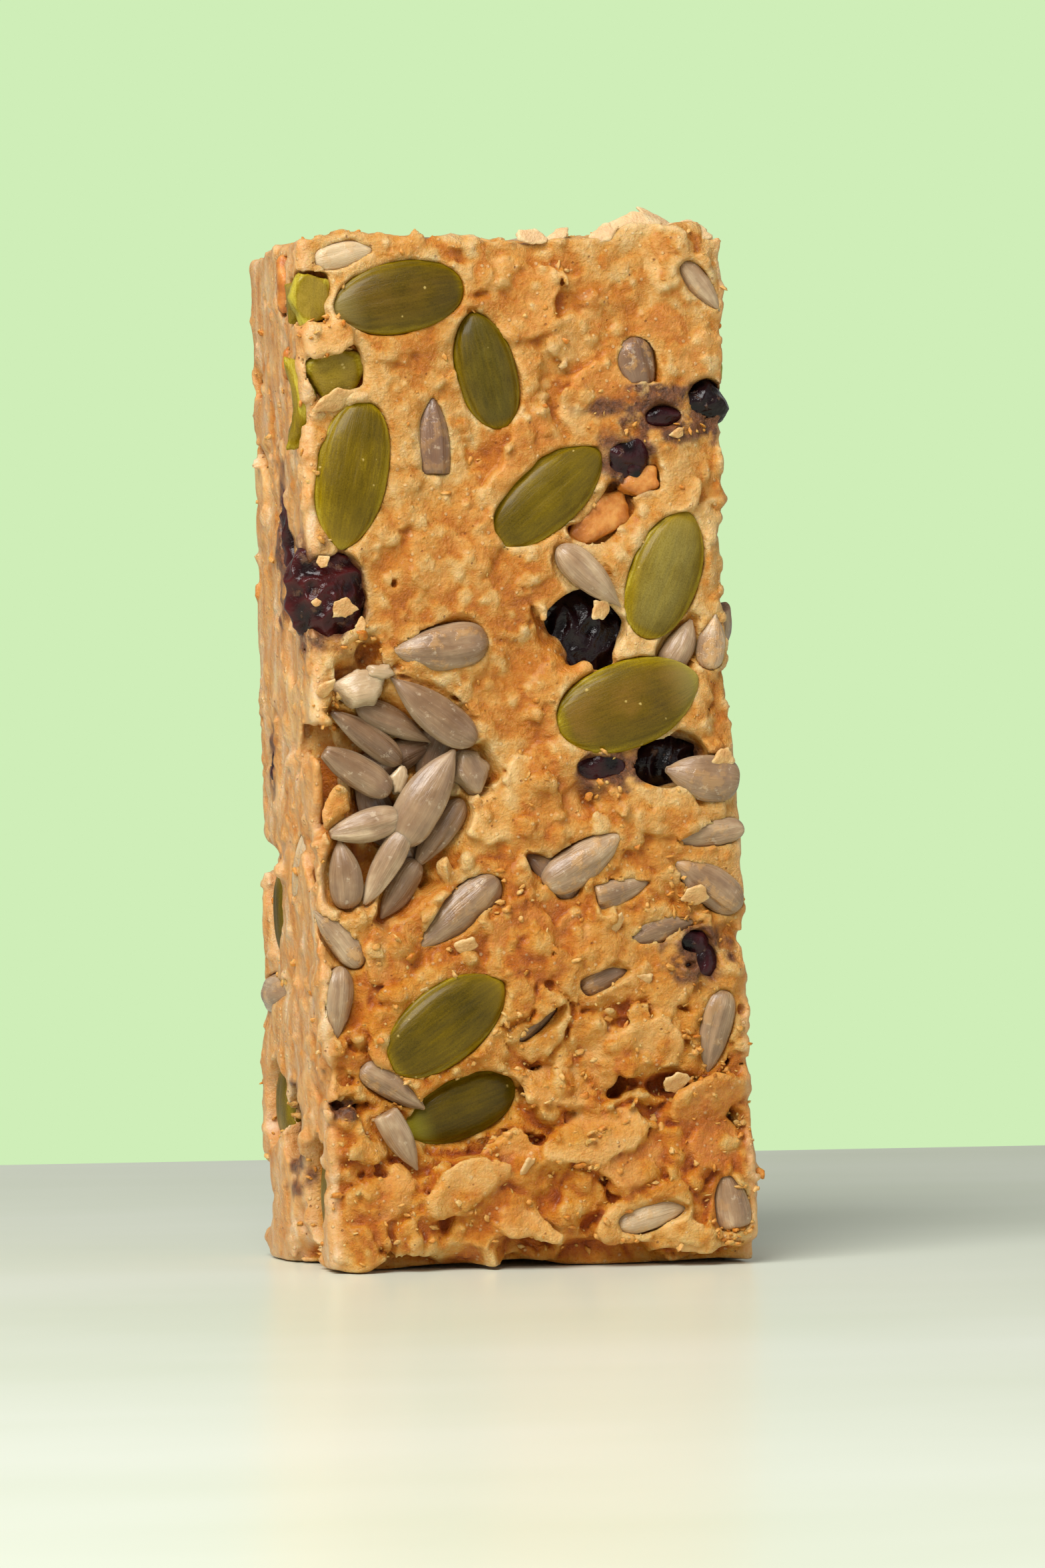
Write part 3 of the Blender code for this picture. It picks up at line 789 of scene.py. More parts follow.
def flake_places():
    """Rolled oats pressed into every face: placing matrix, size and tone."""
    found = []
    for face, count in FLAKES.items():
        low, high, bottom, top = FACE_SPANS[face]
        for _ in range(count):
            across, height = RNG.uniform(low, high), RNG.uniform(bottom, top)
            torn = 0.0 if face == "top" else 1 - smoothstep(20, 50, height)
            tip = RNG.uniform(2, 12) + torn * RNG.uniform(0, 26)
            outwards = RNG.uniform(-0.8, -0.25) + 0.35 * torn * RNG.uniform(-1, 1)
            turn, pitch = RNG.uniform(0, 360), RNG.uniform(-tip, tip) / 2
            matrix = on_face(face, across, height, outwards, turn, tip, pitch)
            found.append((matrix, RNG.uniform((4.6, 3.4, 0.7), (8.2, 5.6, 1.2)), RNG.uniform(-1, 1)))
    return found


FLAKE_THICKNESS = 0.9


def front_flakes():
    """The rolled oats that show on the front, in the same way."""
    found = []
    for across, height, length, width, turn, outwards, roll, tone in FRONT_FLAKES:
        matrix = on_face("front", across, height, outwards, turn, roll)
        found.append((matrix, (length, width, FLAKE_THICKNESS), tone))
    return found


def add_flakes(field, places, flake, tone, wobble, blend):
    """Joins oats to the paste. flake keeps the distance to the nearest one, and tone keeps its tone."""
    for matrix, (length, width, thickness), own in places:
        part = window(matrix[:3, 3], length / 2 + 1.2)
        along, side, out = local_grid(part, matrix)
        bend = RNG.uniform(-0.03, 0.05)
        level = np.abs(out - bend * (along**2 + 0.6 * side**2)) - thickness / 2
        reach = np.sqrt((2 * along / length) ** 2 + (2 * side / width) ** 2) - 1 + 0.34 * wobble[part]
        distance = smooth_max(level, reach * width / 2, 0.5)
        nearer = distance < flake[part]
        tone[part] = np.where(nearer, own, tone[part])
        flake[part] = np.minimum(flake[part], distance)
        field[part] = smooth_min(field[part], distance, blend)


def surface_spots(field, count, reach=1.2):
    """Random places on the surface, and which way is out there."""
    spots = RNG.uniform(GRID_LOW + 1, GRID_HIGH - 1, (14 * count, 3))
    height = sample(field, spots)
    near = np.abs(height) < reach
    spots, height = spots[near][:count], height[near][:count]
    for _ in range(2):
        slope = np.stack(
            [sample(field, spots + step) - sample(field, spots - step) for step in np.eye(3) * 0.4], 1
        )
        slope /= np.linalg.norm(slope, axis=1, keepdims=True) + 1e-6
        spots = spots - slope * sample(field, spots)[:, None]
    return spots, slope


def pressed_flat(spots):
    """1 on the cut sides, where everything is pressed flat, and 0 elsewhere."""
    return smoothstep(HALF_WIDTH - 1.2, HALF_WIDTH - 0.4, np.abs(spots[:, 0]))


FRAGMENTS = 8600
CORNER_TURN = 1.2566  # a fifth of a turn, between the corners of a broken bit


def add_fragments(field, flake, tone, torn):
    """Presses small broken bits of oat and nut into the surface, more jutting where it was torn open."""
    spots, outs = surface_spots(field, FRAGMENTS)
    roughness = sample(torn, spots)
    pressed = pressed_flat(spots)
    bare = (sample(flake, spots) > 0.25) | (RNG.uniform(size=len(spots)) < 0.5)
    bare &= RNG.uniform(size=len(spots)) > 0.6 * pressed + 0.3 * (1 - pressed)
    for spot, out, rough in zip(spots[bare], outs[bare], roughness[bare]):
        size = 0.32 + 0.9 * RNG.uniform() ** 2.2
        thickness = RNG.uniform(0.16, 0.34)
        normal = out + RNG.normal(0, 0.10 + 0.22 * rough, 3)
        normal /= np.linalg.norm(normal)
        right = np.cross(normal, RNG.normal(size=3))
        right /= np.linalg.norm(right)
        centre = spot + out * (RNG.uniform(-0.16, 0.02) + 0.15 * rough * RNG.uniform(-1, 1))
        part = window(centre, 1.25 * size + 0.3)
        along, side, level = local_grid(part, placing(centre, right, np.cross(normal, right), normal))
        outline = np.float32(-9)  # deep inside, before the first side is cut
        start = RNG.uniform(0, 2 * math.pi)
        for corner in range(5):
            angle = start + corner * CORNER_TURN + RNG.uniform(-0.4, 0.4)
            line = along * np.float32(math.cos(angle)) + side * np.float32(math.sin(angle))
            outline = smooth_max(outline, line - np.float32(size * RNG.uniform(0.55, 1.0)), 0.2)
        distance = smooth_max(outline, np.abs(level) - thickness, 0.3)
        piece = field[part]
        nearer = (distance < piece + 0.12) & (distance < 0.3)
        tone[part] = np.where(nearer, RNG.uniform(-1, 1), tone[part])
        flake[part] = np.where(nearer, np.minimum(flake[part], distance + 0.35), flake[part])
        field[part] = smooth_min(piece, distance, 0.26)


def ball(centre, radius, reach, narrowest, widest):
    """The grid within reach of a point, and the distance there to a ball that is stretched at random."""
    part = window(centre, reach)
    parts = local_grid(part, placing(centre, *np.eye(3)))
    stretch = RNG.uniform(narrowest, widest, 3)
    return part, np.sqrt(sum((value * times) ** 2 for value, times in zip(parts, stretch))) - radius


LUMPS = 1500


def add_lumps(field, torn, tone):
    """Small round lumps of paste, most of them where it was torn open."""
    spots, outs = surface_spots(field, LUMPS)
    share = (0.04 + 0.60 * sample(torn, spots)) * (1 - 0.8 * pressed_flat(spots))
    chosen = RNG.uniform(size=len(spots)) < share
    ripple = fractal(0.9, 2)
    for spot, out in zip(spots[chosen], outs[chosen]):
        radius = 0.35 + 1.05 * RNG.uniform() ** 1.7
        centre = spot - out * radius * RNG.uniform(0.1, 0.6)
        part, lump = ball(centre, radius, 1.6 * radius + 0.3, 0.75, 1.3)
        lump += 0.22 * radius * ripple[part]
        tone[part] = np.where(lump < field[part], RNG.uniform(-1, 1), tone[part])
        field[part] = smooth_min(field[part], lump, 0.22)


PITS = 380


def add_pits(field, base):
    """Small holes and pores in the skin."""
    spots = RNG.uniform(GRID_LOW, GRID_HIGH, (12 * PITS, 3))
    for spot in spots[np.abs(sample(base, spots)) < 0.5]:
        radius = 0.16 + 0.34 * RNG.uniform() ** 3
        part, hole = ball(spot, radius, 2 * radius, 0.5, 1.6)
        field[part] = smooth_max(field[part], -hole, 0.15)


def clods(base, torn):
    """The block broken into clods, with the sheets of paste that lap over each other on them."""
    warp = [1.3 * fractal(3.4, 3, 0.6) for _ in range(3)]
    first, second, clod = cells(5.2, base, 4.5, warp)
    gap = np.clip((second - first) / 1.2, 0, 1)
    split = torn * smoothstep(-0.2, 0.3, soft_noise(9))
    mound = 0.75 - (first / 4.0) ** 2
    field = base - (0.14 + 0.44 * torn) * mound - (0.05 + 0.25 * torn) * clod * smoothstep(0.0, 0.8, gap)
    field += 0.50 * split * (1 - smoothstep(0.0, 0.9, gap))
    field -= (0.20 + 0.20 * torn) * overlaps(5.0) + (0.11 + 0.16 * torn) * overlaps(2.4)
    field -= (0.22 + 0.10 * torn) * fractal(3.0, 3)
    warp = [0.55 * fractal(1.7, 2) for _ in range(3)]
    first, _, _ = cells(2.2, field, 1.9, warp)
    field -= (0.06 + 0.12 * torn) * (0.62 - (first / 2.0) ** 2)
    return field


def paste_fields(inclusions):
    """The paste as a grid of distances, with how near a flake is, its tone, and how torn the paste is."""
    side = smoothstep(HALF_WIDTH - 2.5, HALF_WIDTH - 0.5, np.abs(X))
    torn = 1 - smoothstep(14, 54, Z + 6 * soft_noise(18))
    torn = torn * (1 - 0.6 * side)
    top_end = smoothstep(TOP - 3, TOP - 0.5, Z)

    base = plain_block(-0.40) + hollow_depth() - lump_height() + uneven_sides()
    base -= (0.30 + 0.30 * torn) * fractal(9, 2)
    field = clods(base, torn)
    wobble = fractal(1.9, 2)
    for item in inclusions:
        if item.hold != "loose":
            add_collar(field, item, wobble)
    warp = [0.35 * soft_noise(0.9) for _ in range(3)]
    curd, _, _ = cells(1.2, field, 0.9, warp)
    field -= (0.06 + 0.06 * torn) * (0.6 - np.minimum(curd, 1.3) ** 2)

    flake = np.full(SHAPE, 9.0, np.float32)  # no flake within reach
    tone = np.zeros(SHAPE, np.float32)
    torn = np.broadcast_to(torn, SHAPE)
    add_flakes(field, flake_places(), flake, tone, wobble, 0.55)
    field -= 0.14 * side * soft_noise((1.3, 1.3, 3.5))
    field = smooth_max(field, bulging_block(), 0.5)
    pressed = smooth_max(field, plain_block(0.15) + uneven_sides(), 0.4)
    field += side * (pressed - field)
    add_lumps(field, torn, tone)
    add_flakes(field, front_flakes(), flake, tone, wobble, 0.60)
    add_fragments(field, flake, tone, torn)

    field = smooth_max(field, undercut(), 0.6)
    field -= (0.09 + 0.02 * torn) * (1 - 0.6 * side) * fractal(0.75, 3, 0.6)
    field -= 0.20 * top_end * soft_noise(1.4)
    field = smooth_max(field, bulging_block(0.12), 0.3)
    add_pits(field, base)
    sway = soft_noise(3.4)
    for item in inclusions:
        carve_inclusion(field, item, wobble, sway)
    rim = soft_noise(4.5)
    floor = -(math.sin(LEAN) * X + math.cos(LEAN) * Z) + 0.1 + 0.7 * smoothstep(0.1, 1.0, rim)
    field = smooth_max(field, floor.astype(np.float32), 0.5)
    return field.astype(np.float32), flake, tone, torn


def surface_net(field):
    """Corners and four-sided faces of the surface where the field changes sign."""
    inside = (field < 0).astype(np.int8)
    corners = [np.array(corner) for corner in np.ndindex(2, 2, 2)]
    size = np.array(field.shape) - 1
    count = sum(inside[tuple(slice(c, c + n) for c, n in zip(corner, size))] for corner in corners)
    spots = np.argwhere((count > 0) & (count < 8))
    values = [field[tuple((spots + corner).T)] for corner in corners]
    total = np.zeros((len(spots), 3))
    crossings = np.zeros(len(spots))
    for a in range(8):
        for b in range(a + 1, 8):
            step = corners[b] - corners[a]
            if abs(step).sum() != 1:
                continue
            crossed = (values[a] < 0) != (values[b] < 0)
            share = np.where(crossed, values[a] / np.where(crossed, values[a] - values[b], 1), 0)
            total += crossed[:, None] * (corners[a] + share[:, None] * step)
            crossings += crossed
    points = GRID_LOW + (spots + total / crossings[:, None]) * VOXEL
    number = np.full(tuple(size), -1, np.int64)
    number[tuple(spots.T)] = np.arange(len(spots))
    faces = []
    for axis in range(3):
        b, c = (axis + 1) % 3, (axis + 2) % 3
        ahead = [slice(None)] * 3
        behind = [slice(None)] * 3
        ahead[axis], behind[axis] = slice(1, None), slice(None, -1)
        change = inside[tuple(behind)] - inside[tuple(ahead)]
        for way in (1, -1):
            edges = np.argwhere(change == way)
            across = edges[:, [b, c]]
            edges = edges[((across > 0) & (across < size[[b, c]])).all(1)]
            ring = []
            for step in ((0, 0), (-1, 0), (-1, -1), (0, -1)):
                cell = edges.copy()
                cell[:, [b, c]] += step
                ring.append(number[tuple(cell.T)])
            faces.append(np.stack(ring if way == 1 else ring[::-1], 1))
    return points, np.concatenate(faces)


def add_object(name, data):
    obj = bpy.data.objects.new(name, data)
    bpy.context.scene.collection.objects.link(obj)
    return obj


def new_mesh(name, points, faces):
    """An object of points in the bar's axes and faces that all have as many corners."""
    places = to_frame(points)
    places[:, 2] = np.maximum(places[:, 2], 0)
    mesh = bpy.data.meshes.new(name)
    mesh.from_pydata(places, [], faces)
    mesh.shade_smooth()
    return add_object(name, mesh)


def set_values(obj, name, values):
    """Keeps a number or a vector for each corner of the object."""
    kind, key = ("FLOAT_VECTOR", "vector") if values.ndim == 2 else ("FLOAT", "value")
    attribute = obj.data.attributes.new(name, kind, "POINT")
    attribute.data.foreach_set(key, np.asarray(values, np.float32).ravel())


def keep_largest(points, faces):
    """Leaves out the closed bubbles and specks that aren't part of the main surface."""
    label = np.arange(len(points))
    while True:
        lowest = label[faces].min(1)
        fresh = label.copy()
        for corner in range(faces.shape[1]):
            np.minimum.at(fresh, faces[:, corner], lowest)
        fresh = fresh[fresh]
        if (fresh == label).all():
            break
        label = fresh
    main = np.bincount(label).argmax()
    kept = label == main
    renumber = np.cumsum(kept) - 1
    return points[kept], renumber[faces[kept[faces[:, 0]]]]


def decimated(obj, most):
    """Takes the mesh down to that many triangles."""
    triangles = sum(len(face.vertices) - 2 for face in obj.data.polygons)
    if triangles <= most:
        return
    reduce = obj.modifiers.new("reduce", "DECIMATE")
    reduce.ratio = most / triangles
    graph = bpy.context.evaluated_depsgraph_get()
    mesh = bpy.data.meshes.new_from_object(obj.evaluated_get(graph))
    old = obj.data
    obj.modifiers.clear()
    obj.data = mesh
    bpy.data.meshes.remove(old)
    mesh.name = obj.name


def stain_at(points, berries):
    """How deeply the juice of the berries has coloured the paste, from 0 to 1."""
    nearest = np.full(len(points), 99.0)
    for berry in berries:
        local = (points - berry.matrix[:3, 3]) @ berry.matrix[:3, :3] / (berry.size / 2)
        nearest = np.minimum(nearest, (np.linalg.norm(local, axis=1) - 1) * berry.size.min() / 2)
    ragged = 0.8 * wavy(points, 1.4, (3, 1, 4))
    stain = smoothstep(1.4, 0.2, nearest + ragged)
    for face, across, height, half_width, half_height in STAINS:
        right, up, normal, distance = FACES[face]
        side, rise = (points @ right - across) / half_width, (points @ up - height) / half_height
        shallow = smoothstep(-5, -3, points @ normal - distance)
        reach = np.hypot(side, rise) + ragged
        stain = np.maximum(stain, smoothstep(1.15, 0.65, reach) * shallow)
    return stain


def paste_values(points, fields, berries):
    """What colours the paste, at points of its surface."""
    field, flake, tone, torn = fields
    return {
        # How far the surface stands out of its surroundings, finely and broadly: the paste's material paints
        # shade into the hollows and light onto the crests from these
        "fine_swell_shading": sample(blurred(field, max(1, round(0.5 / VOXEL))), points) / 0.16,
        "broad_swell_shading": sample(blurred(field, round(1.7 / VOXEL)), points) / 0.55,
        "flake": smoothstep(0.18, -0.05, sample(flake, points)),
        "flake_tone": sample(tone, points),
        "torn": sample(torn, points),
        "side": smoothstep(HALF_WIDTH - 1.3, HALF_WIDTH - 0.5, np.abs(points[:, 0])),
        "stain": stain_at(points, berries),
    }


PASTE_TRIANGLES = 440000
# The paste is kept as three layers, so that none has too many triangles: from y, to y
LAYERS = {
    "oat_paste_front": (-99, -6.6),
    "oat_paste_middle": (-6.6, 5.6),
    "oat_paste_back": (5.6, 99),
}


def make_paste(inclusions, berries):
    """The paste, cut into layers along its own edges. Their corner normals are those of the whole."""
    fields = paste_fields(inclusions)
    points, faces = keep_largest(*surface_net(fields[0]))
    whole = new_mesh("whole_paste", points, faces.tolist())
    decimated(whole, PASTE_TRIANGLES)
    points = corners_of(whole) - ORIGIN
    values = paste_values(points, fields, berries)
    normals = np.empty(len(points) * 3)
    whole.data.vertices.foreach_get("normal", normals)
    normals = normals.reshape(-1, 3)
    corners = np.empty(len(whole.data.loops), int)
    whole.data.loops.foreach_get("vertex_index", corners)
    sizes = np.empty(len(whole.data.polygons), int)
    whole.data.polygons.foreach_get("loop_total", sizes)
    starts = np.concatenate([[0], np.cumsum(sizes)[:-1]])
    middles = np.add.reduceat(points[corners, 1], starts) / sizes
    made = []
    for name, (low, high) in LAYERS.items():
        chosen = np.flatnonzero((middles >= low) & (middles < high))
        faces = [corners[starts[i] : starts[i] + sizes[i]] for i in chosen]
        used = np.unique(np.concatenate(faces))
        renumber = np.zeros(len(points), int)
        renumber[used] = np.arange(len(used))
        layer = new_mesh(name, points[used], [renumber[face].tolist() for face in faces])
        layer.data.normals_split_custom_set_from_vertices(normals[used].tolist())
        for key, value in values.items():
            set_values(layer, key, value[used])
        made.append(layer)
    bpy.data.objects.remove(whole)
    return made, points, normals @ UPRIGHT


# --------------------------------------------------
# Seeds, kernels, berries and crumbs
# --------------------------------------------------


def ring_grid(rings, rounds):
    """A sphere's grid with its poles along X: place along it from -1 to 1, angle round it, and its faces."""
    along = -np.cos(np.linspace(0, math.pi, rings + 1))[1:-1]
    angle = np.linspace(0, 2 * math.pi, rounds, endpoint=False)
    t = np.concatenate([[-1.0], np.repeat(along, rounds), [1.0]])
    a = np.concatenate([[0.0], np.tile(angle, rings - 1), [0.0]])
    last = len(t) - 1
    faces = []
    for i in range(rounds):
        j = (i + 1) % rounds
        faces.append((0, 1 + j, 1 + i))
        for ring in range(rings - 2):
            first = 1 + ring * rounds
            faces.append((first + i, first + j, first + rounds + j, first + rounds + i))
        first = 1 + (rings - 2) * rounds
        faces.append((first + i, first + j, last))
    return t, a, faces


def wavy(points, size, offset):
    """Smooth noise of about -1 to 1 at points, with lumps of that size."""
    return np.array([noise.noise(Vector(p) / size + Vector(offset)) for p in points])


def joined_piece(name, shapes):
    """One object of many closed shapes, each with its points, its faces and what its points keep."""
    points, faces, first = [], [], 0
    for own, own_faces, _ in shapes:
        points.append(own)
        faces += [tuple(first + corner for corner in face) for face in own_faces]
        first += len(own)
    obj = new_mesh(name, np.concatenate(points), faces)
    for key in shapes[0][2]:
        set_values(obj, key, np.concatenate([values[key] for _, _, values in shapes]))
    return obj


def cut_short(t, cuts):
    """Moves what lies beyond the cuts into their planes: the new places, and how much the rings shrink."""
    low, high = 2 * cuts[0] - 1, 1 - 2 * cuts[1]
    shrink = np.ones_like(t)
    if cuts[0] > 0:
        shrink = np.where(t < low, (t + 1) / (low + 1), shrink)
    if cuts[1] > 0:
        shrink = np.where(t > high, (1 - t) / (1 - high), shrink)
    return np.clip(t, low, high), shrink


def pumpkin_shape(item, number, rings, rounds):
    """A flat drop, domed on both sides inside a raised rim, with a small nub at its tip."""
    t, a, faces = ring_grid(rings, rounds)
    length, width, thickness = item.size / 2
    t, shrink = cut_short(t, item.cuts)
    wide, deep = item.profile(t)
    across = np.cos(a) * shrink
    dome = np.sin(a) * shrink
    local = np.stack([t * length, wide * across * width, deep * dome * thickness], 1)
    swell = wavy(local, 3.6, (number * 7.1, 0, 0))
    local[:, 2] += 0.10 * swell * deep * np.abs(dome)
    seam = 0.10 * np.exp(-((across / 0.12) ** 2)) * smoothstep(1.0, 0.2, np.abs(t))
    local[:, 2] -= seam * (dome > 0)
    furrow = np.exp(-(((np.abs(across) - 0.86) / 0.06) ** 2)) * smoothstep(1.0, 0.7, np.abs(t))
    local[:, 2] -= 0.14 * furrow * np.sign(dome)
    local[:, 1] += 0.05 * width * math.sin(2.3 * number) * (1 - t**2)
    spread = across * (0.35 + 0.65 * wide)
    grain = np.stack([t * length, spread * width, np.sign(dome) * 3.0 + 11.0 * number], 1)
    edge = np.clip(np.abs(across) ** 4 + smoothstep(0.80, 1.0, np.abs(t)), 0, 1)
    values = {"grain": grain, "edge": edge, "tip": smoothstep(0.45, 1.0, t)}
    return put(local, item.matrix), faces, values


def kernel_shape(item, number, rings=26, rounds=40):
    """A shelled sunflower kernel with blunt ridges along it, each bent and twisted a little differently."""
    t, a, faces = ring_grid(rings, rounds)
    length, width, thickness = item.size / 2
    t, shrink = cut_short(t, item.cuts)
    wide, deep = item.profile(t)
    slim = 0.16 * math.sin(5.3 * number)
    wide, deep = wide ** (1 + slim), deep ** (1 + slim)
    twist = a + 0.5 * math.sin(4.1 * number) * t
    ridges = 1 + 0.040 * np.cos(3 * twist + 1.3 * number) + 0.018 * np.cos(7 * twist + 2.1 * number)
    for side in (-1, 1):
        groove = math.pi / 2 + side * (0.45 + 0.3 * math.sin(3.1 * number + side))
        depth = 0.07 + 0.05 * math.sin(6.7 * number * side)
        ridges = ridges - depth * np.exp(-(((twist - groove) / 0.17) ** 2)) * smoothstep(1.0, 0.5, np.abs(t))
    across = np.cos(a) * shrink
    dome = np.sin(a) * shrink
    local = np.stack([t * length, wide * across * width * ridges, deep * dome * thickness * ridges], 1)
    local[:, 2] += 0.22 * math.sin(2.4 * number) * (1 - t**2) * thickness
    local[:, 1] += 0.14 * math.sin(1.7 * number) * (1 - t**2) * width
    local += 0.06 * wavy(local, 1.5, (0, number * 5.3, 0))[:, None] * wide[:, None]
    grain = np.stack([t * length + 17.0 * number, 1.9 * np.cos(a), 1.9 * np.sin(a)], 1)
    values = {"grain": grain, "edge": np.abs(across) ** 8, "tip": smoothstep(0.3, 1.0, t)}
    return put(local, item.matrix), faces, values


def chip_shape(item, number, rings=12, rounds=36):
    """A broken flat piece with a few corners and a slightly wavy surface."""
    t, a, faces = ring_grid(rings, rounds)
    length, width, thickness = item.size / 2
    shapes = np.random.default_rng(number)
    reach = np.full(len(a), 1.25)
    start = shapes.uniform(0, 2 * math.pi)
    for corner in range(5):
        facing = np.cos(a - start - corner * CORNER_TURN - shapes.uniform(-0.35, 0.35))
        reach = np.minimum(reach, shapes.uniform(0.75, 1.0) / np.maximum(facing, 0.3))
    reach = reach * (1 - np.abs(t) ** 4) ** 0.25
    local = np.stack([reach * np.cos(a) * length, reach * np.sin(a) * width, t * thickness], 1)
    ragged = 0.30 * wavy(local, 1.1, (number * 3.1, 4, 0)) + 0.16 * wavy(local, 0.4, (4, number * 2.3, 0))
    local[:, :2] *= 1 + ragged[:, None] * min(1, 1.6 / length) * min(1, 0.6 / thickness)
    local[:, 2] += 0.45 * min(thickness, 0.25) * wavy(local, 0.9, (number * 5.7, 0, 0))
    local[:, 2] += shapes.uniform(-0.10, 0.10) * local[:, 0] ** 2
    grain = np.stack([local[:, 0] + 17.0 * number, local[:, 1], local[:, 2]], 1)
    values = {"grain": grain, "edge": smoothstep(0.7, 1.0, reach), "tip": 0 * t}
    return put(local, item.matrix), faces, values


def icosphere(level):
    """The points and faces of a ball of radius 1."""
    bm = bmesh.new()
    bmesh.ops.create_icosphere(bm, subdivisions=level, radius=1)
    points = np.array([vert.co[:] for vert in bm.verts])
    faces = [[vert.index for vert in face.verts] for face in bm.faces]
    bm.free()
    return points, faces


def berry_shape(item, number, sphere, faces):
    """A shrivelled berry, pressed flat and drawn into folds and creases."""
    half = item.size / 2
    plain = sphere * half
    offset = (number * 4.7, number, 0)
    warp = np.stack([wavy(plain, 2.4, (7 * i, number, 3 * i)) for i in range(3)], 1)
    bent = plain + 0.6 * warp
    folds = 1 - np.abs(wavy(bent, 2.0, offset)) * 2.6
    creases = 1 - np.abs(wavy(bent, 1.1, offset)) * 2.2
    lobes = wavy(sphere, 1.1, (number, 9, 2))
    outward = sphere / half
    outward /= np.linalg.norm(outward, axis=1, keepdims=True)
    depth = min(1.0, half.mean() / 3) * (0.42 * folds + 0.10 * creases)
    local = plain * (1.08 + 0.32 * lobes)[:, None] + outward * depth[:, None]
    # The last value is high on the crests of the folds and low in their hollows; the berry's material paints
    # light on the crests and shade in the hollows from it
    values = {"grain": plain + 11.0 * number, "fold_shading": folds * 0.6 + creases * 0.4}
    return put(local, item.matrix), faces, values


# The numbers that the shapes of each kind start from, so that no two kinds repeat each other's shapes
FIRST_SEED_BIT = 40
FIRST_APRICOT_BIT = 80
FIRST_BERRY_BIT = 40


def make_pumpkin_seeds(items):
    """A skin for each pumpkin seed, finer where it faces the camera."""
    made = []
    for number, item in enumerate(items):
        facing_camera = item.matrix[1, 3] < -HALF_DEPTH + 3
        shape = pumpkin_shape(item, number, 48, 72 if facing_camera else 44)
        made.append(joined_piece(item.node + "_skin", [shape]))
    return made


def make_kernels(items):
    """All sunflower kernels. Those that aren't loose have a film of paste on them."""
    shapes = []
    for number, item in enumerate(items):
        shape = chip_shape if item.profile is plate_profile else kernel_shape
        points, faces, values = shape(item, number)
        values["tone"] = np.full(len(points), item.tone)
        values["smear"] = np.full(len(points), 0.0 if item.hold == "loose" else RNG.uniform(0.2, 0.9))
        shapes.append((points, faces, values))
    return joined_piece("sunflower_kernels", shapes)


def make_bits(name, items, first):
    """Bits of seed or fruit, broken flat."""
    return joined_piece(name, [chip_shape(item, number, 16, 40) for number, item in enumerate(items, first)])


def make_chips(items):
    """Broken oats, each with its tone."""
    shapes = []
    for number, item in enumerate(items):
        points, faces, values = chip_shape(item, number)
        values["tone"] = np.full(len(points), item.tone)
        shapes.append((points, faces, values))
    return joined_piece("oat_chips", shapes)


def make_berry_bits(items):
    """Torn bits of cranberry."""
    sphere = icosphere(4)
    shapes = [berry_shape(item, number, *sphere) for number, item in enumerate(items, FIRST_BERRY_BIT)]
    return joined_piece("cranberry_bits", shapes)


def make_berries(items):
    """A skin for each cranberry, finer where it faces the camera."""
    made = []
    for number, item in enumerate(items):
        facing_camera = item.matrix[1, 2] < -0.5
        shape = berry_shape(item, number, *icosphere(6 if facing_camera else 5))
        made.append(joined_piece(item.node + "_skin", [shape]))
    return made


CRUMBS = 1300
# How far from the frame's origin crumbs may start, across and to the front or back, and how far they reach
CRUMB_ROOM = (22.4, 12.0)
CRUMB_LIMIT = 12.8
# Heaps of crumbs on the front: across, height, reach, count
CRUMB_HEAPS = (
    (14.6, 33.6, 1.6, 34),
    (-17.4, 60.6, 1.9, 12),
    (-14.8, 58.0, 1.2, 5),
    (17.6, 4.4, 1.7, 22),
    (3.6, 10.8, 1.2, 14),
    (-18.4, 52.6, 1.4, 14),
    (15.8, 19.4, 2.2, 40),
    (-17.0, 36.0, 1.3, 12),
    (7.4, 45.6, 2.2, 10),
    (-3.0, 34.6, 1.6, 12),
    (17.8, 1.6, 1.4, 26),
    (-18.0, 86.0, 1.8, 36),
    (9.6, 78.6, 2.4, 6),
    (16.4, 76.8, 1.3, 8),
    (18.6, 12.0, 1.2, 26),
)


def crumb_places(points, normals):
    """The corners of the paste's surface where crumbs lie: some anywhere, most near the base, and heaps."""
    flat = np.abs(to_frame(points)[:, :2]) / MM
    room = (flat < CRUMB_ROOM).all(1) & (points[:, 2] > 1.2)
    chance = (0.20 + (1 - smoothstep(5, 50, points[:, 2]))) * room * (1 - 0.85 * np.abs(normals[:, 0]))
    chosen = [RNG.choice(len(points), CRUMBS, replace=False, p=chance / chance.sum())]
    shown = room & (normals[:, 1] < -0.2)
    for across, height, reach, count in CRUMB_HEAPS:
        away = np.hypot(points[:, 0] - across, points[:, 2] - height) / reach
        near = np.exp(-(away**2)) * shown * (away < 1.6)
        chosen.append(RNG.choice(len(points), count, p=near / near.sum()))
    return np.concatenate(chosen)


def make_crumbs(points, normals):
    """Loose crumbs of paste and oat that cling to the surface."""
    sphere, faces = icosphere(2)
    shapes = []
    for number, index in enumerate(crumb_places(points, normals)):
        radius = 0.14 + 0.34 * RNG.uniform() ** 2
        axis = Vector(RNG.normal(size=3)).normalized()
        turn = np.array(Matrix.Rotation(RNG.uniform(0, math.pi), 3, axis))
        ripple = 1 + 0.7 * wavy(sphere, 0.55, (number * 1.3, 0, 0))
        stretch = RNG.uniform((0.8, 0.6, 0.3), (1.6, 1.1, 0.7))
        local = sphere * ripple[:, None] * stretch * radius @ turn.T
        lift = -0.1 if number < CRUMBS else RNG.uniform(-0.1, 0.9)
        own = local + points[index] + normals[index] * radius * lift
        tone = RNG.uniform(-1, 1)
        if np.abs(to_frame(own)[:, 1]).max() / MM < CRUMB_LIMIT:
            shapes.append((own, faces, {"tone": np.full(len(sphere), tone)}))
    return joined_piece("crumbs", shapes)


# --------------------------------------------------
# Materials
# --------------------------------------------------


